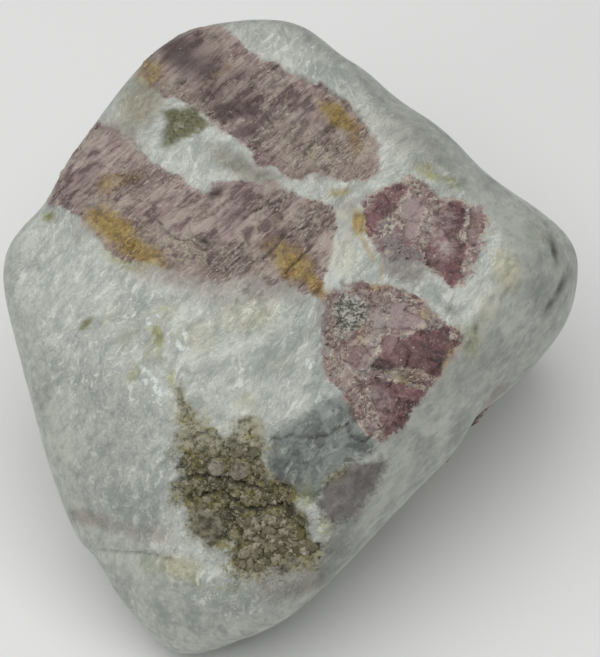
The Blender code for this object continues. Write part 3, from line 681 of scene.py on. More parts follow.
def pocket_floor(points, seen, bent, fields):
    """Height of the pocket's floor in millimetres, and the shade painted in its crevices and along the
    borders of its crumbs.

    Crumbs and grit stand on the sunken floor. Each large grain is a dome with a moat, and each crevice a bell
    shape of the distance from its line. The grains' own fields are added to the fields.
    """
    fields["upper_floor"] = ramp(seen[:, 1], -16.5, -13.0)
    crumb_relief, crumbs, crumb_border, _ = broken_surface(bent, "crumbs")
    grit_relief, grit, _, _ = broken_surface(seen, "grit")
    sunk = POCKET_DEPTH * (1 - 0.55 * ramp(seen[:, 1], -22, -14))
    floor = crumb_relief + grit_relief - sunk
    uneven = GRAIN_UNEVENNESS * layered_noise(points, 1.2, 92)
    away = {grain: distance_to_grain(seen, grain) / grain[2] + uneven for grain in LARGE_GRAINS}
    for (_, _, _, tall), rim in away.items():
        dome = np.sqrt(np.clip(1 - rim**2, 0, 1)) * tall - sunk + 0.10 * crumbs + 0.05 * grit
        moat = 0.22 * np.exp(-(((rim - 1.05) / 0.12) ** 2))
        floor = np.where(rim < 1, np.maximum(floor, dome), floor - moat)

    dirt = np.zeros(len(points))
    # Each crevice is cut into the floor and painted with shade, and so are the borders between the crumbs
    for line, width, deep in CREVICES:
        cut = np.exp(-((distance_to_line(bent, line) / width) ** 2))
        floor -= deep * cut
        dirt = np.maximum(dirt, 0.8 * cut)
    glass = np.minimum(away[GLASSY_GRAIN], away[ROSY_GRAIN])
    rosy_rim = 0.45 * ramp(distance_to_grain(seen, ROSY_GRAIN), 1.5, 0.9)
    fields["nodule"] = ramp(away[ROUND_GRAIN], 1.0, 0.85)
    fields["glassy"] = ramp(glass, 1.0, 0.9)
    # Painted highlight on the lower rims of the two glassy grains, and the own paler tone of the rosy grain
    fields["rim_highlight_and_pale_rosy"] = np.maximum(ramp(glass, 0.55, 0.80) * ramp(seen[:, 1], -16.9, -17.6), rosy_rim)
    return floor, np.maximum(dirt, 0.35 * groove(crumb_border, 0.2))


def stone_relief(points, normals, fields):
    """Height of the skin over the plain lump in millimetres.

    The shade painted in its low places (crevices, cracks, pits and the seams between facets), the dark colour
    of its marks and the tone of its crystal facets are added to the fields.
    """
    seen = seen_from_show_side(points)
    shown = on_show_side(normals)
    bent = seen + 0.5 * drift(points, 3.0, 61)
    height = LONG_SWELL[1] * smooth_noise(points, LONG_SWELL[0], 1)
    height += SHORT_SWELL[1] * smooth_noise(points, SHORT_SWELL[0], 2)
    height += 0.03 * layered_noise(points, 1.8, 3)
    height += fields["lively"] * broken_surface(bent, "scales")[0]

    on_band = ramp(fields["band"], 0, 0.8)
    broken = 0.5 + 0.5 * ramp(layered_noise(points, 4.0, 81), -0.5, 0.5)
    broken *= 1 - 0.7 * patch_strength(seen, SMOOTH_PATCHES)
    rungs, _, rung_border, rung_tone = broken_surface(bent, "rungs")
    slivers, _, _, sliver_tone = broken_surface(bent, "slivers")
    height += on_band * broken * (rungs + slivers)

    on_cluster = ramp(fields["cluster"], 0, 0.6)
    on_crystal = ramp(np.maximum(fields["wine"], fields["rosy"]), -0.15, 0.25)
    lumps, _, lump_border, lump_tone = broken_surface(bent, "lumps")
    chips, _, _, chip_tone = broken_surface(bent, "chips")
    sugar = chips + 0.16
    height += on_cluster * (lumps + sugar * (1 - 0.75 * on_crystal) - 0.14 * on_crystal)

    in_pocket = ramp(fields["pocket"] + 0.5 * layered_noise(points, 1.6, 91), -0.1, POCKET_WALL)
    floor, dirt = pocket_floor(points, seen, bent, fields)
    height += in_pocket * floor
    dirt *= in_pocket
    # Painted shade in the seams between the bands' rungs and between the clusters' lumps
    dirt = np.maximum(dirt, 0.55 * groove(rung_border, 0.16) * ramp(rung_tone, 0.55, 0.6) * on_band * broken)
    dirt = np.maximum(dirt, 0.5 * groove(lump_border, 0.09) * on_cluster)

    wobble = seen + 0.15 * drift(points, 1.0, 62)
    # Pits and cracks are cut in and painted with shade; the marks are painted in their own dark colour
    marks = [(patch_distance(wobble, *pit[:5]), pit[5], pit[6]) for pit in PITS]
    marks += [(distance_to_line(wobble, line) / width, deep, dark) for line, width, deep, dark in CRACKS]
    for away, deep, dark in marks:
        cut = np.exp(-(away**2)) * shown
        height -= deep * cut
        dirt = np.maximum(dirt, dark * cut)
    height += 0.18 * ramp(fields["flake"], -0.1, 0.2)
    height -= shown * LEDGE_DEPTH * np.exp(-((distance_to_line(seen, LEDGE) / LEDGE_WIDTH) ** 2))
    fields.update(dirt=dirt, broken=broken, rung_tone=rung_tone, sliver_tone=sliver_tone)
    fields.update(lump_tone=lump_tone, chip_tone=chip_tone)
    return height


def mesh_piece(name, points, faces, fields, finish):
    """A piece at the origin from arrays of points and faces, with its fields as point attributes."""
    mesh = bpy.data.meshes.new(name)
    mesh.from_pydata(points, [], faces)
    for field, values in fields.items():
        attribute = mesh.attributes.new(field, "FLOAT", "POINT")
        attribute.data.foreach_set("value", np.ascontiguousarray(values, dtype=np.float32))
    mesh.materials.append(finish)
    piece = bpy.data.objects.new(name, mesh)
    bpy.context.scene.collection.objects.link(piece)
    return piece


class Finish:
    """A procedural finish. Each call adds nodes and returns an output socket."""

    def __init__(self, name):
        self.material = bpy.data.materials.new(name)
        self.material.use_nodes = True
        self.nodes = self.material.node_tree.nodes
        self.links = self.material.node_tree.links
        self.shader = self.nodes["Principled BSDF"]
        self.place = self.nodes.new("ShaderNodeTexCoord").outputs["Object"]

    def set(self, socket, value):
        """Links a socket to an output, or sets its value."""
        if isinstance(value, bpy.types.NodeSocket):
            self.links.new(value, socket)
        else:
            socket.default_value = value

    def field(self, name):
        """One of the values that are stored on the piece's points."""
        node = self.nodes.new("ShaderNodeAttribute")
        node.attribute_name = name
        return node.outputs["Fac"]

    def chain(self, operation, first, *others):
        """A math operation on two values, and on its result and each further value."""
        for value in others:
            node = self.nodes.new("ShaderNodeMath")
            node.operation = operation
            self.set(node.inputs[0], first)
            self.set(node.inputs[1], value)
            first = node.outputs[0]
        return first

    def plus(self, *values):
        return self.chain("ADD", *values)

    def minus(self, a, b):
        return self.chain("SUBTRACT", a, b)

    def times(self, *values):
        return self.chain("MULTIPLY", *values)

    def over(self, a, b):
        return self.chain("DIVIDE", a, b)

    def largest(self, *values):
        return self.chain("MAXIMUM", *values)

    def rise(self, value, start, end, low=0.0, high=1.0):
        """Low before start, high after end, and a smooth change between them."""
        node = self.nodes.new("ShaderNodeMapRange")
        node.interpolation_type = "SMOOTHSTEP"
        for socket, setting in zip(node.inputs, (value, start, end, low, high)):
            self.set(socket, setting)
        return node.outputs[0]

    def mix(self, share, a, b, way="MIX"):
        """A share of colour b in colour a."""
        node = self.nodes.new("ShaderNodeMix")
        node.data_type = "RGBA"
        node.blend_type = way
        self.set(node.inputs[0], share)
        self.set(node.inputs[6], (*a, 1.0) if isinstance(a, tuple) else a)
        self.set(node.inputs[7], (*b, 1.0) if isinstance(b, tuple) else b)
        return node.outputs[2]

    def tint(self, share, colour, tint):
        """A share of the colour multiplied by a tint."""
        return self.mix(share, colour, self.mix(1.0, colour, tint, "MULTIPLY"))

    def stretch(self, size, turn=(0.0, 0.0, 0.0), place=None):
        """Coordinates turned by angles in degrees and counted in sizes in millimetres along each axis."""
        turned = self.nodes.new("ShaderNodeVectorRotate")
        turned.rotation_type = "EULER_XYZ"
        self.set(turned.inputs["Vector"], place or self.place)
        turned.inputs["Rotation"].default_value = [math.radians(-angle) for angle in turn]
        node = self.nodes.new("ShaderNodeMapping")
        self.set(node.inputs["Vector"], turned.outputs[0])
        node.inputs["Scale"].default_value = [1 / (s * MM) for s in size]
        return node.outputs[0]

    def noise(self, place, detail=3.0, roughness=0.55, bend=0.0):
        """Cloudy values around a half, with a lump for each unit of the coordinates."""
        node = self.nodes.new("ShaderNodeTexNoise")
        self.set(node.inputs["Vector"], place)
        node.inputs["Scale"].default_value = 1.0
        node.inputs["Detail"].default_value = detail
        node.inputs["Roughness"].default_value = roughness
        node.inputs["Distortion"].default_value = bend
        return node.outputs[0]

    def round_noise(self, size, **ways):
        """Noise whose lumps have one size in millimetres along every axis."""
        return self.noise(self.stretch((size,) * 3), **ways)

    def lines(self, noise, level, wide, narrow):
        """Thin lines where a noise passes a level: 0 when wide of it and 1 when narrow."""
        return self.rise(self.chain("ABSOLUTE", self.minus(noise, level), 0.0), wide, narrow)

    def cells(self, place, output="Color", feature="F1"):
        """Values of scattered cells, one for each unit of the coordinates."""
        node = self.nodes.new("ShaderNodeTexVoronoi")
        node.feature = feature
        self.set(node.inputs["Vector"], place)
        node.inputs["Scale"].default_value = 1.0
        return node.outputs[output]

    def warped(self, place, amount, size):
        """Coordinates pushed about by a noise: amount and size are in the units of the coordinates."""
        node = self.nodes.new("ShaderNodeTexNoise")
        self.set(node.inputs["Vector"], place)
        node.inputs["Scale"].default_value = 1 / size
        node.inputs["Detail"].default_value = 2.0
        pushed = self.nodes.new("ShaderNodeVectorMath")
        pushed.operation = "MULTIPLY_ADD"
        self.set(pushed.inputs[0], node.outputs["Color"])
        pushed.inputs[1].default_value = (amount, amount, amount)
        self.set(pushed.inputs[2], place)
        return pushed.outputs[0]

    def domains(self, size, base, spread, blade):
        """Blades of one noise whose direction changes from grain to grain: each cell turns the coordinates.

        base is the blades' mean turn in radians about each axis, and spread the whole range of it.
        """
        cell = self.cells(self.warped(self.stretch((size,) * 3), 0.5, 0.8))
        angle = self.nodes.new("ShaderNodeVectorMath")
        angle.operation = "MULTIPLY_ADD"
        self.set(angle.inputs[0], cell)
        angle.inputs[1].default_value = spread
        angle.inputs[2].default_value = [-b - s / 2 for b, s in zip(base, spread)]
        turned = self.nodes.new("ShaderNodeVectorRotate")
        turned.rotation_type = "EULER_XYZ"
        self.set(turned.inputs["Vector"], self.place)
        self.set(turned.inputs["Rotation"], angle.outputs[0])
        return self.noise(self.stretch(blade, place=turned.outputs[0]), detail=4.0, roughness=0.6, bend=0.3)

    def bumped(self, height, distance):
        """Fine relief that tilts the light: a height, and the distance that it stands for in millimetres."""
        node = self.nodes.new("ShaderNodeBump")
        node.inputs["Strength"].default_value = 1.0
        node.inputs["Distance"].default_value = distance * MM
        self.set(node.inputs["Height"], height)
        self.set(self.shader.inputs["Normal"], node.outputs[0])


# Base colours of the stone's parts, adjusted until each part had the right tone in the render
# Greyer tone and painted shade of the surfaces that face neither the top nor the front flat
CALM_TINT = (0.89, 0.89, 0.88)
PEPPER = (0.105, 0.098, 0.080)
SALT = (0.50, 0.50, 0.45)
SNOW_WHITE = (0.70, 0.72, 0.66)
BLADE_WHITE = (0.585, 0.605, 0.545)
BLADE_GREY = (0.45, 0.47, 0.43)
BLADE_SHADE = (0.33, 0.355, 0.33)
# White of the painted reflection on the matrix's flakes
FLAKE_REFLECTION_WHITE = (0.76, 0.80, 0.76)
QUARTZ_BLUE = (0.235, 0.260, 0.242)
QUARTZ_DARK = (0.110, 0.122, 0.115)
BAND_DARK = (0.140, 0.090, 0.088)
BAND_MAUVE = (0.325, 0.240, 0.222)
BAND_PALE = (0.49, 0.405, 0.355)
BAND_CREAM = (0.64, 0.575, 0.47)
BAND_TAN_DARK = (0.24, 0.19, 0.145)
BAND_TAN = (0.49, 0.415, 0.325)
BAND_CALM_DARK = (0.130, 0.090, 0.088)
BAND_CALM = (0.182, 0.128, 0.132)
WINE_DARK = (0.070, 0.027, 0.030)
WINE = (0.165, 0.066, 0.072)
WINE_PALE = (0.27, 0.145, 0.148)
ROSY = (0.27, 0.170, 0.168)
LAVENDER_PINK = (0.39, 0.295, 0.295)
PLUM = (0.085, 0.048, 0.053)
PLUM_PALE = (0.150, 0.096, 0.098)
LAVENDER = (0.285, 0.255, 0.262)
SUGAR = (0.48, 0.405, 0.335)
SUGAR_PINK = (0.38, 0.275, 0.25)
LIGHTER = (1.45, 1.70, 1.62)
HONEY_STAIN = (1.05, 0.84, 0.40)
HONEY_DEEP = (0.19, 0.120, 0.030)
HONEY = (0.35, 0.232, 0.054)
HONEY_PALE = (0.52, 0.385, 0.125)
GREEN_TINT = (0.66, 0.62, 0.28)
CREAM_TINT = (1.06, 1.00, 0.84)
MAUVE_TINT = (0.66, 0.57, 0.56)
MAUVE_DARK = (0.105, 0.090, 0.086)
MAUVE_GREY = (0.195, 0.178, 0.165)
SHADE_TINT = (0.60, 0.56, 0.55)
OLIVE = (0.155, 0.152, 0.070)
OLIVE_PALE = (0.29, 0.29, 0.20)
OLIVE_DARK = (0.050, 0.048, 0.019)
POCKET_PALE = (0.37, 0.345, 0.235)
POCKET_TAN = (0.205, 0.185, 0.100)
POCKET_DUST = (0.46, 0.445, 0.335)
POCKET_SHADOW = (0.042, 0.036, 0.014)
POCKET_STAIN = (0.96, 0.92, 0.55)
NODULE_DARK = (0.085, 0.073, 0.045)
NODULE = (0.26, 0.235, 0.165)
GLASSY_DARK = (0.17, 0.145, 0.11)
GLASSY = (0.33, 0.285, 0.23)
# Pale of the rosy grain and of the painted highlight on the glassy grains' lower rims
PALE_ROSY_AND_RIM_HIGHLIGHT = (0.48, 0.44, 0.37)
# Dark of the shade painted in crevices, cracks, pits and seams, and of the dark marks
SHADE_AND_MARK_DARK = (0.036, 0.031, 0.016)

# Dark, middle and pale tones of the grains
CRUMB_TONES = ((0.11, 0.095, 0.045), (0.27, 0.24, 0.16), (0.48, 0.42, 0.32))
SUGAR_TONES = ((0.22, 0.135, 0.130), (0.37, 0.275, 0.245), (0.56, 0.50, 0.42))
SPLINTER_TONES = ((0.22, 0.16, 0.148), (0.38, 0.30, 0.27), (0.56, 0.49, 0.41))


def matrix_colour(f, fine, lively):
    """Silky white to translucent grey: clouds, soft blades, crisp shreds, pale threads and grey hairlines."""
    clouds = f.round_noise(6.5, detail=4.0, roughness=0.62, bend=0.8)
    blades = f.domains(9.0, (0.0, 0.0, 1.01), (0.5, 0.5, 0.9), (6.0, 0.9, 1.0))
    silk = f.domains(4.5, (0.0, 0.0, 1.01), (1.0, 1.0, 2.0), (3.4, 0.28, 0.34))
    shred_place = f.warped(f.stretch((2.6, 1.1, 1.3), turn=(0, 0, 58)), 1.1, 1.4)
    shreds = f.noise(shred_place, detail=4.0, roughness=0.72)
    tone = f.plus(
        f.times(clouds, f.rise(lively, 0.0, 1.0, 0.34, 0.44)),
        f.times(blades, 0.20),
        f.times(silk, f.rise(lively, 0.0, 1.0, 0.07, 0.11)),
        f.times(shreds, f.rise(lively, 0.0, 1.0, 0.32, 0.17)),
    )
    colour = f.mix(f.rise(tone, 0.37, 0.46), BLADE_SHADE, BLADE_GREY)
    colour = f.mix(f.rise(tone, 0.43, 0.54), colour, BLADE_WHITE)
    crisp = f.rise(lively, 0.0, 1.0, 0.14, 0.95)
    colour = f.mix(f.times(f.rise(shreds, 0.56, 0.64), crisp), colour, SNOW_WHITE)
    colour = f.mix(f.times(f.rise(shreds, 0.43, 0.37), f.times(crisp, 0.5)), colour, BLADE_SHADE)

    web = f.noise(f.warped(f.stretch((7.0, 1.1, 2.2), turn=(0, 0, 65)), 0.25, 0.8), detail=1.0)
    gate = f.times(f.rise(clouds, 0.50, 0.38), f.rise(lively, 0.4, 1.0))
    threads = f.times(f.lines(web, 0.5, 0.022, 0.004), gate)
    colour = f.mix(f.times(threads, 0.40), colour, SNOW_WHITE)
    hair = f.noise(f.warped(f.stretch((7.0, 1.0, 2.0), turn=(0, 0, 50)), 0.25, 0.8), detail=1.0)
    hairlines = f.times(f.lines(hair, 0.47, 0.010, 0.003), f.rise(fine, 0.45, 0.60))
    colour = f.mix(f.times(hairlines, 0.35), colour, QUARTZ_BLUE)
    grains = f.times(lively, f.rise(clouds, 0.36, 0.56, 0.25, 0.75))
    colour = f.mix(f.times(f.rise(silk, 0.59, 0.65), f.times(lively, 0.6)), colour, SNOW_WHITE)
    colour = f.mix(f.times(f.rise(silk, 0.41, 0.35), f.times(lively, 0.5)), colour, BLADE_SHADE)
    colour = f.mix(f.times(f.rise(fine, 0.58, 0.68), grains), colour, SNOW_WHITE)
    colour = f.mix(f.times(f.rise(fine, 0.42, 0.34), grains), colour, BLADE_SHADE)
    # Surfaces that face neither the top nor the front flat are darkened: partly the greyer tone of the smooth
    # flats, partly painted shade
    colour = f.tint(f.rise(lively, 1.0, 0.0), colour, CALM_TINT)
    return colour, clouds, blades, shreds


def mosaic_tone(f):
    """Cleaved quartz: a random value for each angular piece, and how near a point is to its seam."""
    place = f.warped(f.stretch((3.2, 2.0, 2.0), turn=(0, 0, 50)), 1.1, 0.7)
    return f.cells(place), f.rise(f.cells(place, "Distance", "DISTANCE_TO_EDGE"), 0.04, 0.0)


def band_colour(f, fine, sugar, patches):
    """Striated mauve: soft rungs, flecks of cream, tan granular stretches, and a tone for each splinter."""
    turn = (0, 0, STRIATION_TURN_ABOUT_Z)
    streaks = f.noise(f.warped(f.stretch((3.4, 0.55, 0.8), turn), 0.9, 1.6), detail=4.0, roughness=0.6)
    flecks = f.noise(f.warped(f.stretch((0.9, 0.22, 0.35), turn), 1.2, 1.0), detail=3.0, roughness=0.65)
    own = f.plus(f.times(f.field("rung_tone"), 0.18), f.times(f.field("sliver_tone"), 0.13))
    tone = f.plus(f.times(streaks, 0.72), own, f.times(f.minus(sugar, 0.5), 0.22))
    colour = f.mix(f.rise(tone, 0.38, 0.50), BAND_DARK, BAND_MAUVE)
    colour = f.mix(f.times(f.rise(tone, 0.50, 0.63), 0.9), colour, BAND_PALE)
    tan = f.mix(f.rise(fine, 0.38, 0.60), BAND_TAN_DARK, BAND_TAN)
    colour = f.mix(f.times(f.field("tan"), f.rise(sugar, 0.40, 0.54)), colour, tan)
    cream_gate = f.largest(f.rise(patches, 0.42, 0.62), f.times(f.field("tan"), 0.7))
    cream = f.times(f.rise(flecks, 0.54, 0.62), f.times(cream_gate, f.field("broken")))
    colour = f.mix(f.times(cream, 0.9), colour, BAND_CREAM)
    calm = f.mix(f.rise(streaks, 0.38, 0.62), BAND_CALM_DARK, BAND_CALM)
    return f.mix(f.rise(f.field("broken"), 0.45, 0.15), colour, calm), flecks


def cluster_colour(f, fine, sugar, patches):
    """Sugary tan, pink and lavender grains, with rosy and deep wine-red crystals set among them."""
    chip = f.field("chip_tone")
    base = f.mix(f.rise(chip, 0.1, 0.9), SUGAR_PINK, SUGAR)
    base = f.mix(f.rise(patches, 0.50, 0.42), base, ROSY)
    base = f.mix(f.times(f.rise(patches, 0.54, 0.62), 0.7), base, LAVENDER)
    base = f.mix(f.times(f.rise(sugar, 0.40, 0.30), 0.8), base, WINE)
    base = f.mix(f.times(f.rise(fine, 0.60, 0.72), 0.7), base, BAND_CREAM)
    base = f.mix(f.rise(fine, 0.40, 0.30), base, BAND_DARK)
    return f.mix(f.times(f.field("mauve"), f.rise(sugar, 0.36, 0.50)), base, LAVENDER)


def crystal_colours(f, fine, sugar, patches, web):
    """Rosy and wine-red crystals: clouded from deep to pale, with a fine pale web and frosted spots."""
    frost = f.times(f.rise(fine, 0.56, 0.68), f.rise(patches, 0.42, 0.58, 0.2, 0.85))
    rosy_tone = f.plus(f.times(sugar, 0.6), f.times(f.field("lump_tone"), 0.4))
    rosy = f.mix(f.rise(rosy_tone, 0.35, 0.65), ROSY, LAVENDER_PINK)
    rosy = f.mix(frost, rosy, SUGAR)
    rosy = f.mix(f.rise(fine, 0.40, 0.30), rosy, WINE)
    wine_tone = f.plus(f.times(sugar, 0.75), f.times(f.field("lump_tone"), 0.30))
    wine = f.mix(f.rise(wine_tone, 0.38, 0.50), WINE_DARK, WINE)
    wine = f.mix(f.rise(wine_tone, 0.54, 0.66), wine, WINE_PALE)
    wine = f.mix(frost, wine, SUGAR_PINK)
    wine = f.mix(f.times(f.field("mauve"), f.rise(sugar, 0.40, 0.56, 0.2, 0.9)), wine, LAVENDER_PINK)
    wine = f.tint(f.times(f.field("light"), 0.75), wine, LIGHTER)
    return f.mix(f.times(web, 0.4), rosy, SUGAR), f.mix(f.times(web, 0.45), wine, SUGAR_PINK)


def pocket_colour(f, sugar, patches, web):
    """Olive-brown crumbly rock: gravel from shadow to pale, yellow-green stains, and two glassy grains with a
    painted highlight on their lower rims, the rosy one paler all over.
    """
    gravel = f.round_noise(0.62, detail=4.0, roughness=0.7)
    colour = f.mix(f.rise(gravel, 0.36, 0.48), POCKET_SHADOW, POCKET_TAN)
    colour = f.mix(f.rise(gravel, 0.46, 0.62), colour, POCKET_PALE)
    colour = f.mix(f.times(f.rise(patches, 0.50, 0.40), 0.75), colour, POCKET_SHADOW)
    upper = f.mix(f.rise(gravel, 0.36, 0.50), POCKET_TAN, POCKET_DUST)
    upper = f.mix(f.times(f.rise(patches, 0.44, 0.34), 0.5), upper, POCKET_SHADOW)
    colour = f.mix(f.field("upper_floor"), colour, upper)
    stained = f.rise(f.plus(f.times(patches, 0.5), f.times(sugar, 0.5)), 0.49, 0.58)
    colour = f.tint(f.times(stained, 0.9), colour, POCKET_STAIN)
    nodule = f.mix(f.rise(gravel, 0.38, 0.58), NODULE_DARK, NODULE)
    nodule = f.mix(f.times(web, 0.6), nodule, POCKET_SHADOW)
    colour = f.mix(f.times(f.field("nodule"), 0.9), colour, nodule)
    glassy = f.mix(f.rise(sugar, 0.42, 0.56), GLASSY_DARK, GLASSY)
    # Painted highlight on the grains' lower rims, and the rosy grain's own paler tone
    glassy = f.mix(f.field("rim_highlight_and_pale_rosy"), glassy, PALE_ROSY_AND_RIM_HIGHLIGHT)
    return f.mix(f.times(f.field("glassy"), 0.9), colour, glassy)


def stone_finish():
    """Satin stone: bladed matrix, striated mauve bands, granular wine clusters, quartz, stains, dark marks,
    painted shade in crevices, cracks, pits and seams, and painted glints and flake reflections.
    """
    f = Finish("tumbled_tourmaline_stone")
    fine = f.round_noise(0.34, detail=3.0, roughness=0.65)
    sugar = f.round_noise(1.1, detail=4.0, roughness=0.65)
    patches = f.round_noise(2.4, detail=4.0, roughness=0.6)
    web = f.round_noise(1.5, detail=3.0, roughness=0.6, bend=0.8)
    ragged = f.times(f.minus(web, 0.5), 2.2)
    web = f.lines(web, 0.47, 0.022, 0.004)
    speckle = f.times(f.minus(fine, 0.5), 2.4)
    lively = f.field("lively")

    def inside(name, softness=0.2, raggedness=1.0, speckles=0.5):
        depth = f.plus(f.field(name), f.times(ragged, raggedness), f.times(speckle, speckles))
        return f.rise(f.over(depth, softness), -1.0, 1.0)

    def tinted(colour, name, tint, amount=1.0, noise=0.5):
        share = f.plus(f.field(name), f.times(speckle, noise, f.field(name)))
        return f.tint(f.times(f.rise(share, 0.05, 0.95), amount), colour, tint)

    colour, clouds, blades, shreds = matrix_colour(f, fine, lively)
    piece, seam = mosaic_tone(f)
    snow = f.times(f.field("snow"), f.rise(shreds, 0.40, 0.56, 0.35, 1.0))
    colour = f.mix(f.times(snow, 0.85), colour, SNOW_WHITE)
    grey_piece = f.mix(f.rise(piece, 0.3, 0.7), QUARTZ_BLUE, BLADE_SHADE)
    grey_piece = f.mix(f.times(f.rise(shreds, 0.50, 0.60), 0.6), grey_piece, BLADE_GREY)
    grey_piece = f.mix(f.times(seam, 0.35), grey_piece, BLADE_WHITE)
    cleaved = f.plus(clouds, f.times(piece, 0.5))
    grey = f.times(f.field("grey"), f.rise(cleaved, 0.95, 0.55, 0.5, 1.2))
    colour = f.mix(grey, colour, grey_piece)
    colour = tinted(colour, "mauve", MAUVE_TINT, 0.95)
    colour = tinted(colour, "cream", CREAM_TINT, 1.0)

    quartz = inside("quartz", 0.6, 1.0, 0.6)
    quartz_tone = f.plus(f.times(patches, 0.5), f.times(sugar, 0.5), f.rise(piece, 0.2, 0.8, -0.06, 0.06))
    quartz_colour = f.mix(f.rise(quartz_tone, 0.38, 0.58), QUARTZ_DARK, QUARTZ_BLUE)
    quartz_colour = f.mix(f.times(f.rise(shreds, 0.54, 0.66), 0.6), quartz_colour, BLADE_GREY)
    quartz_colour = f.mix(f.times(seam, 0.12), quartz_colour, BLADE_GREY)
    colour = f.mix(quartz, colour, quartz_colour)

    corner = f.mix(f.rise(sugar, 0.35, 0.65), MAUVE_DARK, MAUVE_GREY)
    colour = f.mix(f.times(inside("mauve_corner", 0.8, 1.0, 0.8), 0.92), colour, corner)

    band, flecks = band_colour(f, fine, sugar, patches)
    faded = f.rise(f.field("mauve"), 0.25, 0.9, 1.0, 0.35)
    hazy = f.rise(f.field("mauve"), 0.15, 0.8, 0.35, 1.5)
    band_share = f.times(inside("band", hazy, 0.65, 0.5), faded)
    plum = f.mix(f.rise(fine, 0.35, 0.65), PLUM, PLUM_PALE)
    band = f.mix(f.times(inside("plum", 0.3, 0.5, 0.35), 0.8), band, plum)
    colour = f.mix(band_share, colour, band)

    cluster_share = inside("cluster", 0.30, 0.8, 0.7)
    cluster = cluster_colour(f, fine, sugar, patches)
    rosy, wine = crystal_colours(f, fine, sugar, patches, web)
    cluster = f.mix(f.times(inside("rosy", 0.3, 0.6, 0.6), 0.9), cluster, rosy)
    cluster = f.mix(f.times(inside("wine", 0.2, 0.55, 0.55), 0.95), cluster, wine)
    for name in ("wine", "rosy"):
        edge = inside(name, 0.7, 0.6, 0.5)
        rim = f.times(edge, f.minus(1.0, edge), 4.0)
        rim = f.times(f.rise(rim, 0.55, 1.0), f.rise(fine, 0.40, 0.56, 0.1, 0.75))
        cluster = f.mix(rim, cluster, BAND_CREAM)
    pepper = f.mix(f.rise(fine, 0.45, 0.55), PEPPER, SALT)
    peppered = f.times(f.rise(f.field("pepper"), 0.15, 0.7), f.rise(sugar, 0.34, 0.50, 0.6, 0.95))
    creamy = f.times(f.rise(f.field("cream"), 0.3, 0.8), f.rise(fine, 0.3, 0.5))
    cluster = f.mix(creamy, cluster, BAND_CREAM)
    cluster = f.mix(peppered, cluster, pepper)
    colour = f.mix(cluster_share, colour, cluster)
    colour = tinted(colour, "shade", SHADE_TINT, 0.95, 0.2)

    olive = inside("olive", 0.5, 0.5, 0.5)
    olive_colour = f.mix(f.rise(fine, 0.36, 0.56), OLIVE_DARK, OLIVE)
    colour = f.mix(olive, colour, f.mix(f.rise(sugar, 0.54, 0.68), olive_colour, OLIVE_PALE))
    colour = tinted(colour, "green", GREEN_TINT, 0.9, 1.3)
    amber_grain = f.plus(f.times(fine, 0.4), f.times(sugar, 0.35), f.times(patches, 0.25))
    amber = f.mix(f.rise(amber_grain, 0.42, 0.50), HONEY_DEEP, HONEY)
    amber = f.mix(f.rise(amber_grain, 0.50, 0.60), amber, HONEY_PALE)
    uneven = f.plus(f.times(speckle, 0.6), f.times(ragged, 0.5))
    honey = f.plus(f.field("honey"), f.times(uneven, f.field("honey")))
    colour = f.mix(f.times(f.rise(honey, 0.02, 1.05), 0.92), colour, amber)

    pocket = inside("pocket", 0.9, 1.4, 1.0)
    colour = f.mix(pocket, colour, pocket_colour(f, sugar, patches, web))
    # Painted reflection: the flakes' cleavage faces are painted grey to white, as if catching the light
    flake = inside("flake", 0.05, 0.05, 0.08)
    flake_reflection_colour = f.mix(f.rise(sugar, 0.44, 0.56), BLADE_GREY, FLAKE_REFLECTION_WHITE)
    colour = f.mix(f.times(flake, f.rise(fine, 0.34, 0.50, 0.45, 0.9)), colour, flake_reflection_colour)

    # Painted highlights: small white glint dots on the bands, clusters and pocket
    glint_cells = f.nodes.new("ShaderNodeTexVoronoi")
    f.set(glint_cells.inputs["Vector"], f.warped(f.stretch((0.5,) * 3), 0.6, 0.5))
    glint_cells.inputs["Scale"].default_value = 1.0
    chosen = f.nodes.new("ShaderNodeSeparateColor")
    f.set(chosen.inputs[0], glint_cells.outputs["Color"])
    glints = f.times(
        f.rise(glint_cells.outputs["Distance"], 0.30, 0.14),
        f.rise(chosen.outputs[0], 0.93, 0.96),
        f.largest(band_share, cluster_share, pocket),
        f.rise(sugar, 0.45, 0.6, 0.0, 0.8),
    )
    colour = f.mix(glints, colour, SNOW_WHITE)
    # Painted shade in crevices, cracks, pits and seams, and the own dark colour of the marks
    colour = f.mix(f.field("dirt"), colour, SHADE_AND_MARK_DARK)

    f.set(f.shader.inputs["Base Color"], colour)
    rough = f.plus(
        f.rise(blades, 0.3, 0.7, 0.50, 0.38),
        f.times(f.largest(band_share, cluster_share), -0.06),
        f.times(pocket, 0.25),
        f.times(f.largest(flake, glints), -0.2),
    )
    f.set(f.shader.inputs["Roughness"], rough)
    f.shader.inputs["IOR"].default_value = STONE_IOR
    f.shader.inputs["Subsurface Weight"].default_value = 0.08
    f.shader.inputs["Subsurface Radius"].default_value = (1.0, 0.95, 0.9)
    f.shader.inputs["Subsurface Scale"].default_value = 0.5 * MM

    grainy = f.plus(f.times(cluster_share, 1.4), f.times(pocket, 1.8))
    relief = f.plus(
        f.times(shreds, f.rise(lively, 0.0, 1.0, 0.35, 1.7)),
        f.times(f.minus(flecks, 0.5), f.times(band_share, f.field("broken")), 2.2),
        f.times(f.minus(fine, 0.5), grainy),
    )
    f.bumped(relief, 0.16)
    return f.material


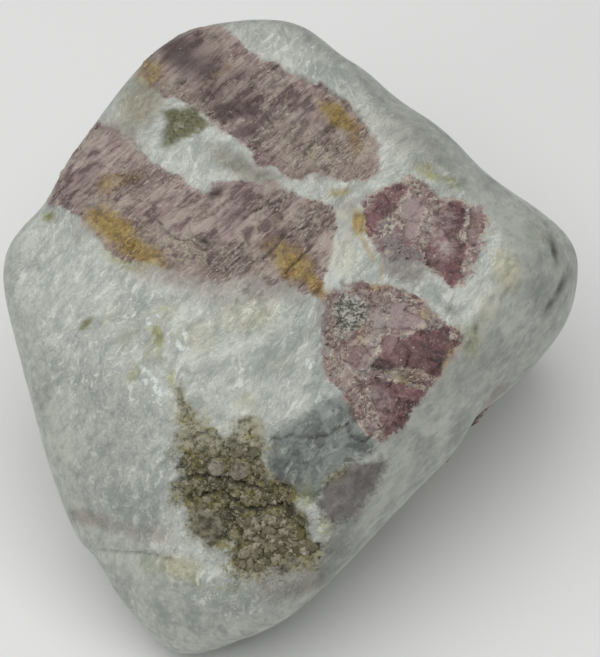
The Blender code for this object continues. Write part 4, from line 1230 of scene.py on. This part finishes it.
def grain_finish(name, tones, stain, roughness):
    """Grains that each have their own tone from dark to pale, some stained and some lavender-grey."""
    f = Finish(name)
    dark, middle, pale = tones
    tone = f.field("tone")
    grit = f.round_noise(0.3, detail=4.0, roughness=0.7)
    colour = f.mix(f.rise(tone, 0.0, 0.5), dark, middle)
    colour = f.mix(f.rise(tone, 0.5, 1.0), colour, pale)
    colour = f.mix(f.times(f.rise(grit, 0.54, 0.38), 0.75), colour, dark)
    colour = f.mix(f.times(f.field("cool"), 0.75), colour, LAVENDER)
    colour = f.tint(f.rise(f.field("stain"), 0.1, 0.8), colour, stain)
    f.set(f.shader.inputs["Base Color"], colour)
    f.shader.inputs["Roughness"].default_value = roughness
    f.shader.inputs["IOR"].default_value = STONE_IOR
    f.bumped(grit, 0.22)
    return f.material


def grains_on(points, normals, casts, count, sizes, seed, along, spread, aspect, flat, sunk):
    """Angular grains grown into the skin, and for each point its grain's tone and the casts where it sits.

    Each is a coarse ball of two parameters, round and from pole to pole, whose points lie at random distances
    from its middle. It is drawn out along a direction by aspect, flattened against the skin by flat, and sunk
    into it. casts holds the strengths of stain and of lavender-grey for every point of the skin.
    """
    rng = np.random.default_rng(seed)
    around, rows = 5, 2
    turns = np.linspace(0, 2 * math.pi, around, endpoint=False)
    slopes = np.linspace(0, math.pi, rows + 2)[1:-1]
    round_angle, pole_angle = np.meshgrid(turns, slopes, indexing="ij")
    wide = np.sin(pole_angle)
    rings = np.stack([wide * np.cos(round_angle), wide * np.sin(round_angle), np.cos(pole_angle)], axis=-1)
    ball = np.concatenate([rings.reshape(-1, 3), [[0, 0, 1.0], [0, 0, -1.0]]])
    corner = np.arange(around * rows).reshape(around, rows)
    following = np.roll(corner, -1, axis=0)
    corners = [corner[:, :-1], corner[:, 1:], following[:, 1:], following[:, :-1]]
    squares = np.stack(corners, axis=-1).reshape(-1, 4)
    top, bottom = around * rows, around * rows + 1
    caps = [(top, corner[k, 0], following[k, 0]) for k in range(around)]
    caps += [(bottom, following[k, -1], corner[k, -1]) for k in range(around)]
    triangles = np.concatenate([squares[:, [0, 1, 2]], squares[:, [0, 2, 3]], np.array(caps)])

    high = np.flatnonzero(points[:, 2] > LOW[2] + GRAINS_ABOVE_FLOOR * MM)
    chosen = rng.choice(high, min(count, len(high)), replace=False)
    count = len(chosen)
    size = (sizes[0] + (sizes[1] - sizes[0]) * rng.uniform(0, 1, count) ** 2) * MM
    turn = np.linalg.qr(rng.normal(size=(count, 3, 3)))[0]
    turn[np.linalg.det(turn) < 0] *= -1
    reach = rng.uniform(0.65, 1.1, (count, len(ball), 1))
    own = np.einsum("cvk,ckl->cvl", ball * reach, turn)
    out = normals[chosen][:, None]
    drawn = along + rng.normal(0, spread, (count, 3))
    drawn -= (drawn * normals[chosen]).sum(axis=1, keepdims=True) * normals[chosen]
    drawn = (drawn / np.linalg.norm(drawn, axis=1, keepdims=True))[:, None]
    own += (aspect - 1) * (own * drawn).sum(axis=2, keepdims=True) * drawn
    own -= (1 - flat) * (own * out).sum(axis=2, keepdims=True) * out
    places = points[chosen] + normals[chosen] * (size * flat * rng.uniform(*sunk, count))[:, None]
    made = places[:, None] + own * size[:, None, None]
    faces = triangles[None] + (np.arange(count) * len(ball))[:, None, None]
    tone = np.repeat(rng.uniform(0, 1, count), len(ball))
    stain, cool = (np.repeat(cast[chosen], len(ball)) for cast in casts)
    return made.reshape(-1, 3), faces.reshape(-1, 3), tone, stain, cool


def grain_piece(name, parts, finish):
    """One piece from several lots of grains."""
    starts = np.cumsum([0] + [len(part[0]) for part in parts[:-1]])
    faces = np.concatenate([part[1] + start for part, start in zip(parts, starts)])
    points, tone, stain, cool = (np.concatenate([part[k] for part in parts]) for k in (0, 2, 3, 4))
    piece = mesh_piece(name, points, faces, {"tone": tone, "stain": stain, "cool": cool}, finish)
    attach(piece, "root")


def make_stone():
    """The whole stone as one closed skin: directions, lump, fields, relief, and the underside ground flat."""
    directions, faces = ball_of_squares(SKIN_SQUARES)
    reach, normals = lump_form(directions)
    reach -= hollow_depth(directions)
    points = HEART + directions * reach[:, None]
    fields = stone_fields(points, normals)
    reach += stone_relief(points, normals, fields) * MM
    to_underside = (HEART[2] - LOW[2]) / np.maximum(-directions[:, 2], 1e-9)
    reach = np.minimum(reach, to_underside)
    points = HEART + directions * reach[:, None]
    stone = mesh_piece("stone", points, faces, fields, stone_finish())
    stone.data.shade_smooth()
    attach(stone, "root")
    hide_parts(STONE)
    return points, normals, fields


def make_pocket_crumbs(points, normals, fields):
    """Crumbs grown fast to the pocket's floor: fine grit all over, coarser blocks in the middle and below."""
    seen = seen_from_show_side(points)
    floor = fields["pocket"] + 0.6 * layered_noise(points, 1.4, 95) > 0.75
    for grain in LARGE_GRAINS:
        floor &= distance_to_grain(seen, grain) > grain[2] * 0.85
    rough = floor & (fields["upper_floor"] < 0.5)
    middle = rough & (seen[:, 1] > -22)
    low_right = rough & (seen[:, 1] < -22.4) & (seen[:, 0] > -8.5)
    yellow = 0.8 * ramp(layered_noise(points, 1.9, 98), 0.2, 0.8)

    def lot(where, count, sizes, seed, flat):
        casts = (yellow[where], np.zeros(where.sum()))
        shape = {"along": SHOW_RIGHT, "spread": 2.0, "aspect": 1.35, "flat": flat, "sunk": (-0.5, 0.2)}
        return grains_on(points[where], normals[where], casts, count, sizes, seed, **shape)

    parts = [
        lot(rough, 800, (0.08, 0.26), 21, 0.7),
        lot(floor, 260, (0.07, 0.16), 24, 0.6),
        lot(low_right, 170, (0.25, 0.90), 22, 0.75),
        lot(middle, 60, (0.22, 0.55), 23, 0.7),
    ]
    grain_piece("pocket_crumbs", parts, grain_finish("pocket_crumbs", CRUMB_TONES, POCKET_STAIN, 0.42))


def make_crystal_sugar(points, normals, fields):
    """Sugary grains on the rims and between the wine crystals of the clusters."""
    crystal = np.maximum(fields["wine"], fields["rosy"])
    patchy = layered_noise(points, 2.0, 96)
    where = (fields["cluster"] > 0.25) & (crystal < 0.15) & (patchy > -0.25) & (fields["pepper"] < 0.4)
    cool = np.maximum(ramp(fields["mauve"], 0.2, 0.6), ramp(layered_noise(points, 2.6, 99), 0.2, 0.6))
    casts = (fields["honey"][where], cool[where])
    shape = {"along": SHOW_RIGHT, "spread": 2.0, "aspect": 1.8, "flat": 0.55, "sunk": (-0.6, 0.1)}
    grains = grains_on(points[where], normals[where], casts, 2300, (0.09, 0.27), 31, **shape)
    grain_piece("crystal_sugar", [grains], grain_finish("crystal_sugar", SUGAR_TONES, HONEY_STAIN, 0.34))


def make_band_splinters(points, normals, fields):
    """Long pale and dark splinters that lie along the bands' striations where the bands are broken."""
    where = (fields["band"] > 0.2) & (fields["broken"] > 0.6) & (layered_noise(points, 2.6, 97) > -0.1)
    where &= fields["plum"] < -0.2
    casts = (fields["honey"][where], np.zeros(where.sum()))

    def lot(count, sizes, seed, aspect):
        shape = {"along": STRIATION_ALONG, "spread": 0.16, "aspect": aspect, "flat": 0.7, "sunk": (-0.5, 0.1)}
        return grains_on(points[where], normals[where], casts, count, sizes, seed, **shape)

    parts = [
        lot(1100, (0.07, 0.20), 41, 3.4),
        lot(300, (0.10, 0.20), 42, 1.8),
        lot(170, (0.08, 0.15), 43, 7.0),
    ]
    grain_piece("band_splinters", parts, grain_finish("band_splinters", SPLINTER_TONES, HONEY_STAIN, 0.36))


def make_floor():
    """A wide plain pale floor just under the stone."""
    half = FLOOR_HALF * MM
    corners = [(-half, -half), (half, -half), (half, half), (-half, half)]
    f = Finish("pale_floor")
    f.shader.inputs["Base Color"].default_value = (FLOOR_WHITE, FLOOR_WHITE, FLOOR_WHITE, 1.0)
    f.shader.inputs["Roughness"].default_value = 0.9
    f.shader.inputs["Specular IOR Level"].default_value = 0.1
    points = np.array([(x, y, LOW[2] - FLOOR_GAP * MM) for x, y in corners])
    floor = mesh_piece("floor", points, np.array([[0, 1, 2, 3]]), {}, f.material)


def area_light(name, place, size, power):
    """A square lamp at a place in millimetres from the heart, turned to face it."""
    lamp = bpy.data.objects.new(name, bpy.data.lights.new(name, "AREA"))
    lamp.data.size = size * MM
    lamp.data.energy = power
    lamp.location = Vector(HEART) + Vector(place) * MM
    lamp.rotation_euler = (-Vector(place)).to_track_quat("-Z", "Y").to_euler()
    bpy.context.scene.collection.objects.link(lamp)


def make_light():
    """Soft light from above, a little of it from the front left, and a dim even fill."""
    world = bpy.data.worlds.new("studio")
    world.use_nodes = True
    background = world.node_tree.nodes["Background"]
    background.inputs["Color"].default_value = (0.99, 1.0, 0.98, 1.0)
    background.inputs["Strength"].default_value = WORLD_LIGHT
    bpy.context.scene.world = world
    for name, (place, size, power) in LAMPS.items():
        area_light(name, place, size, power)
    bpy.context.scene.view_settings.view_transform = "Standard"


def make_camera():
    """The photograph's view: on the show side, square to it, with a long lens."""
    camera = bpy.data.objects.new("camera", bpy.data.cameras.new("camera"))
    camera.location = AIM + SHOW_TOWARDS * SHOW_DISTANCE * MM
    camera.rotation_euler = Vector(-SHOW_TOWARDS).to_track_quat("-Z", "Y").to_euler()
    camera.data.sensor_width = SENSOR_WIDTH
    camera.data.lens = SENSOR_WIDTH * SHOW_DISTANCE / VIEW_HEIGHT
    camera.data.clip_start = CLIP_NEAR * MM
    camera.data.clip_end = CLIP_FAR * MM
    bpy.context.scene.collection.objects.link(camera)
    bpy.context.scene.camera = camera


skin = make_stone()
make_pocket_crumbs(*skin)
make_crystal_sugar(*skin)
make_band_splinters(*skin)
make_floor()
make_light()
make_camera()
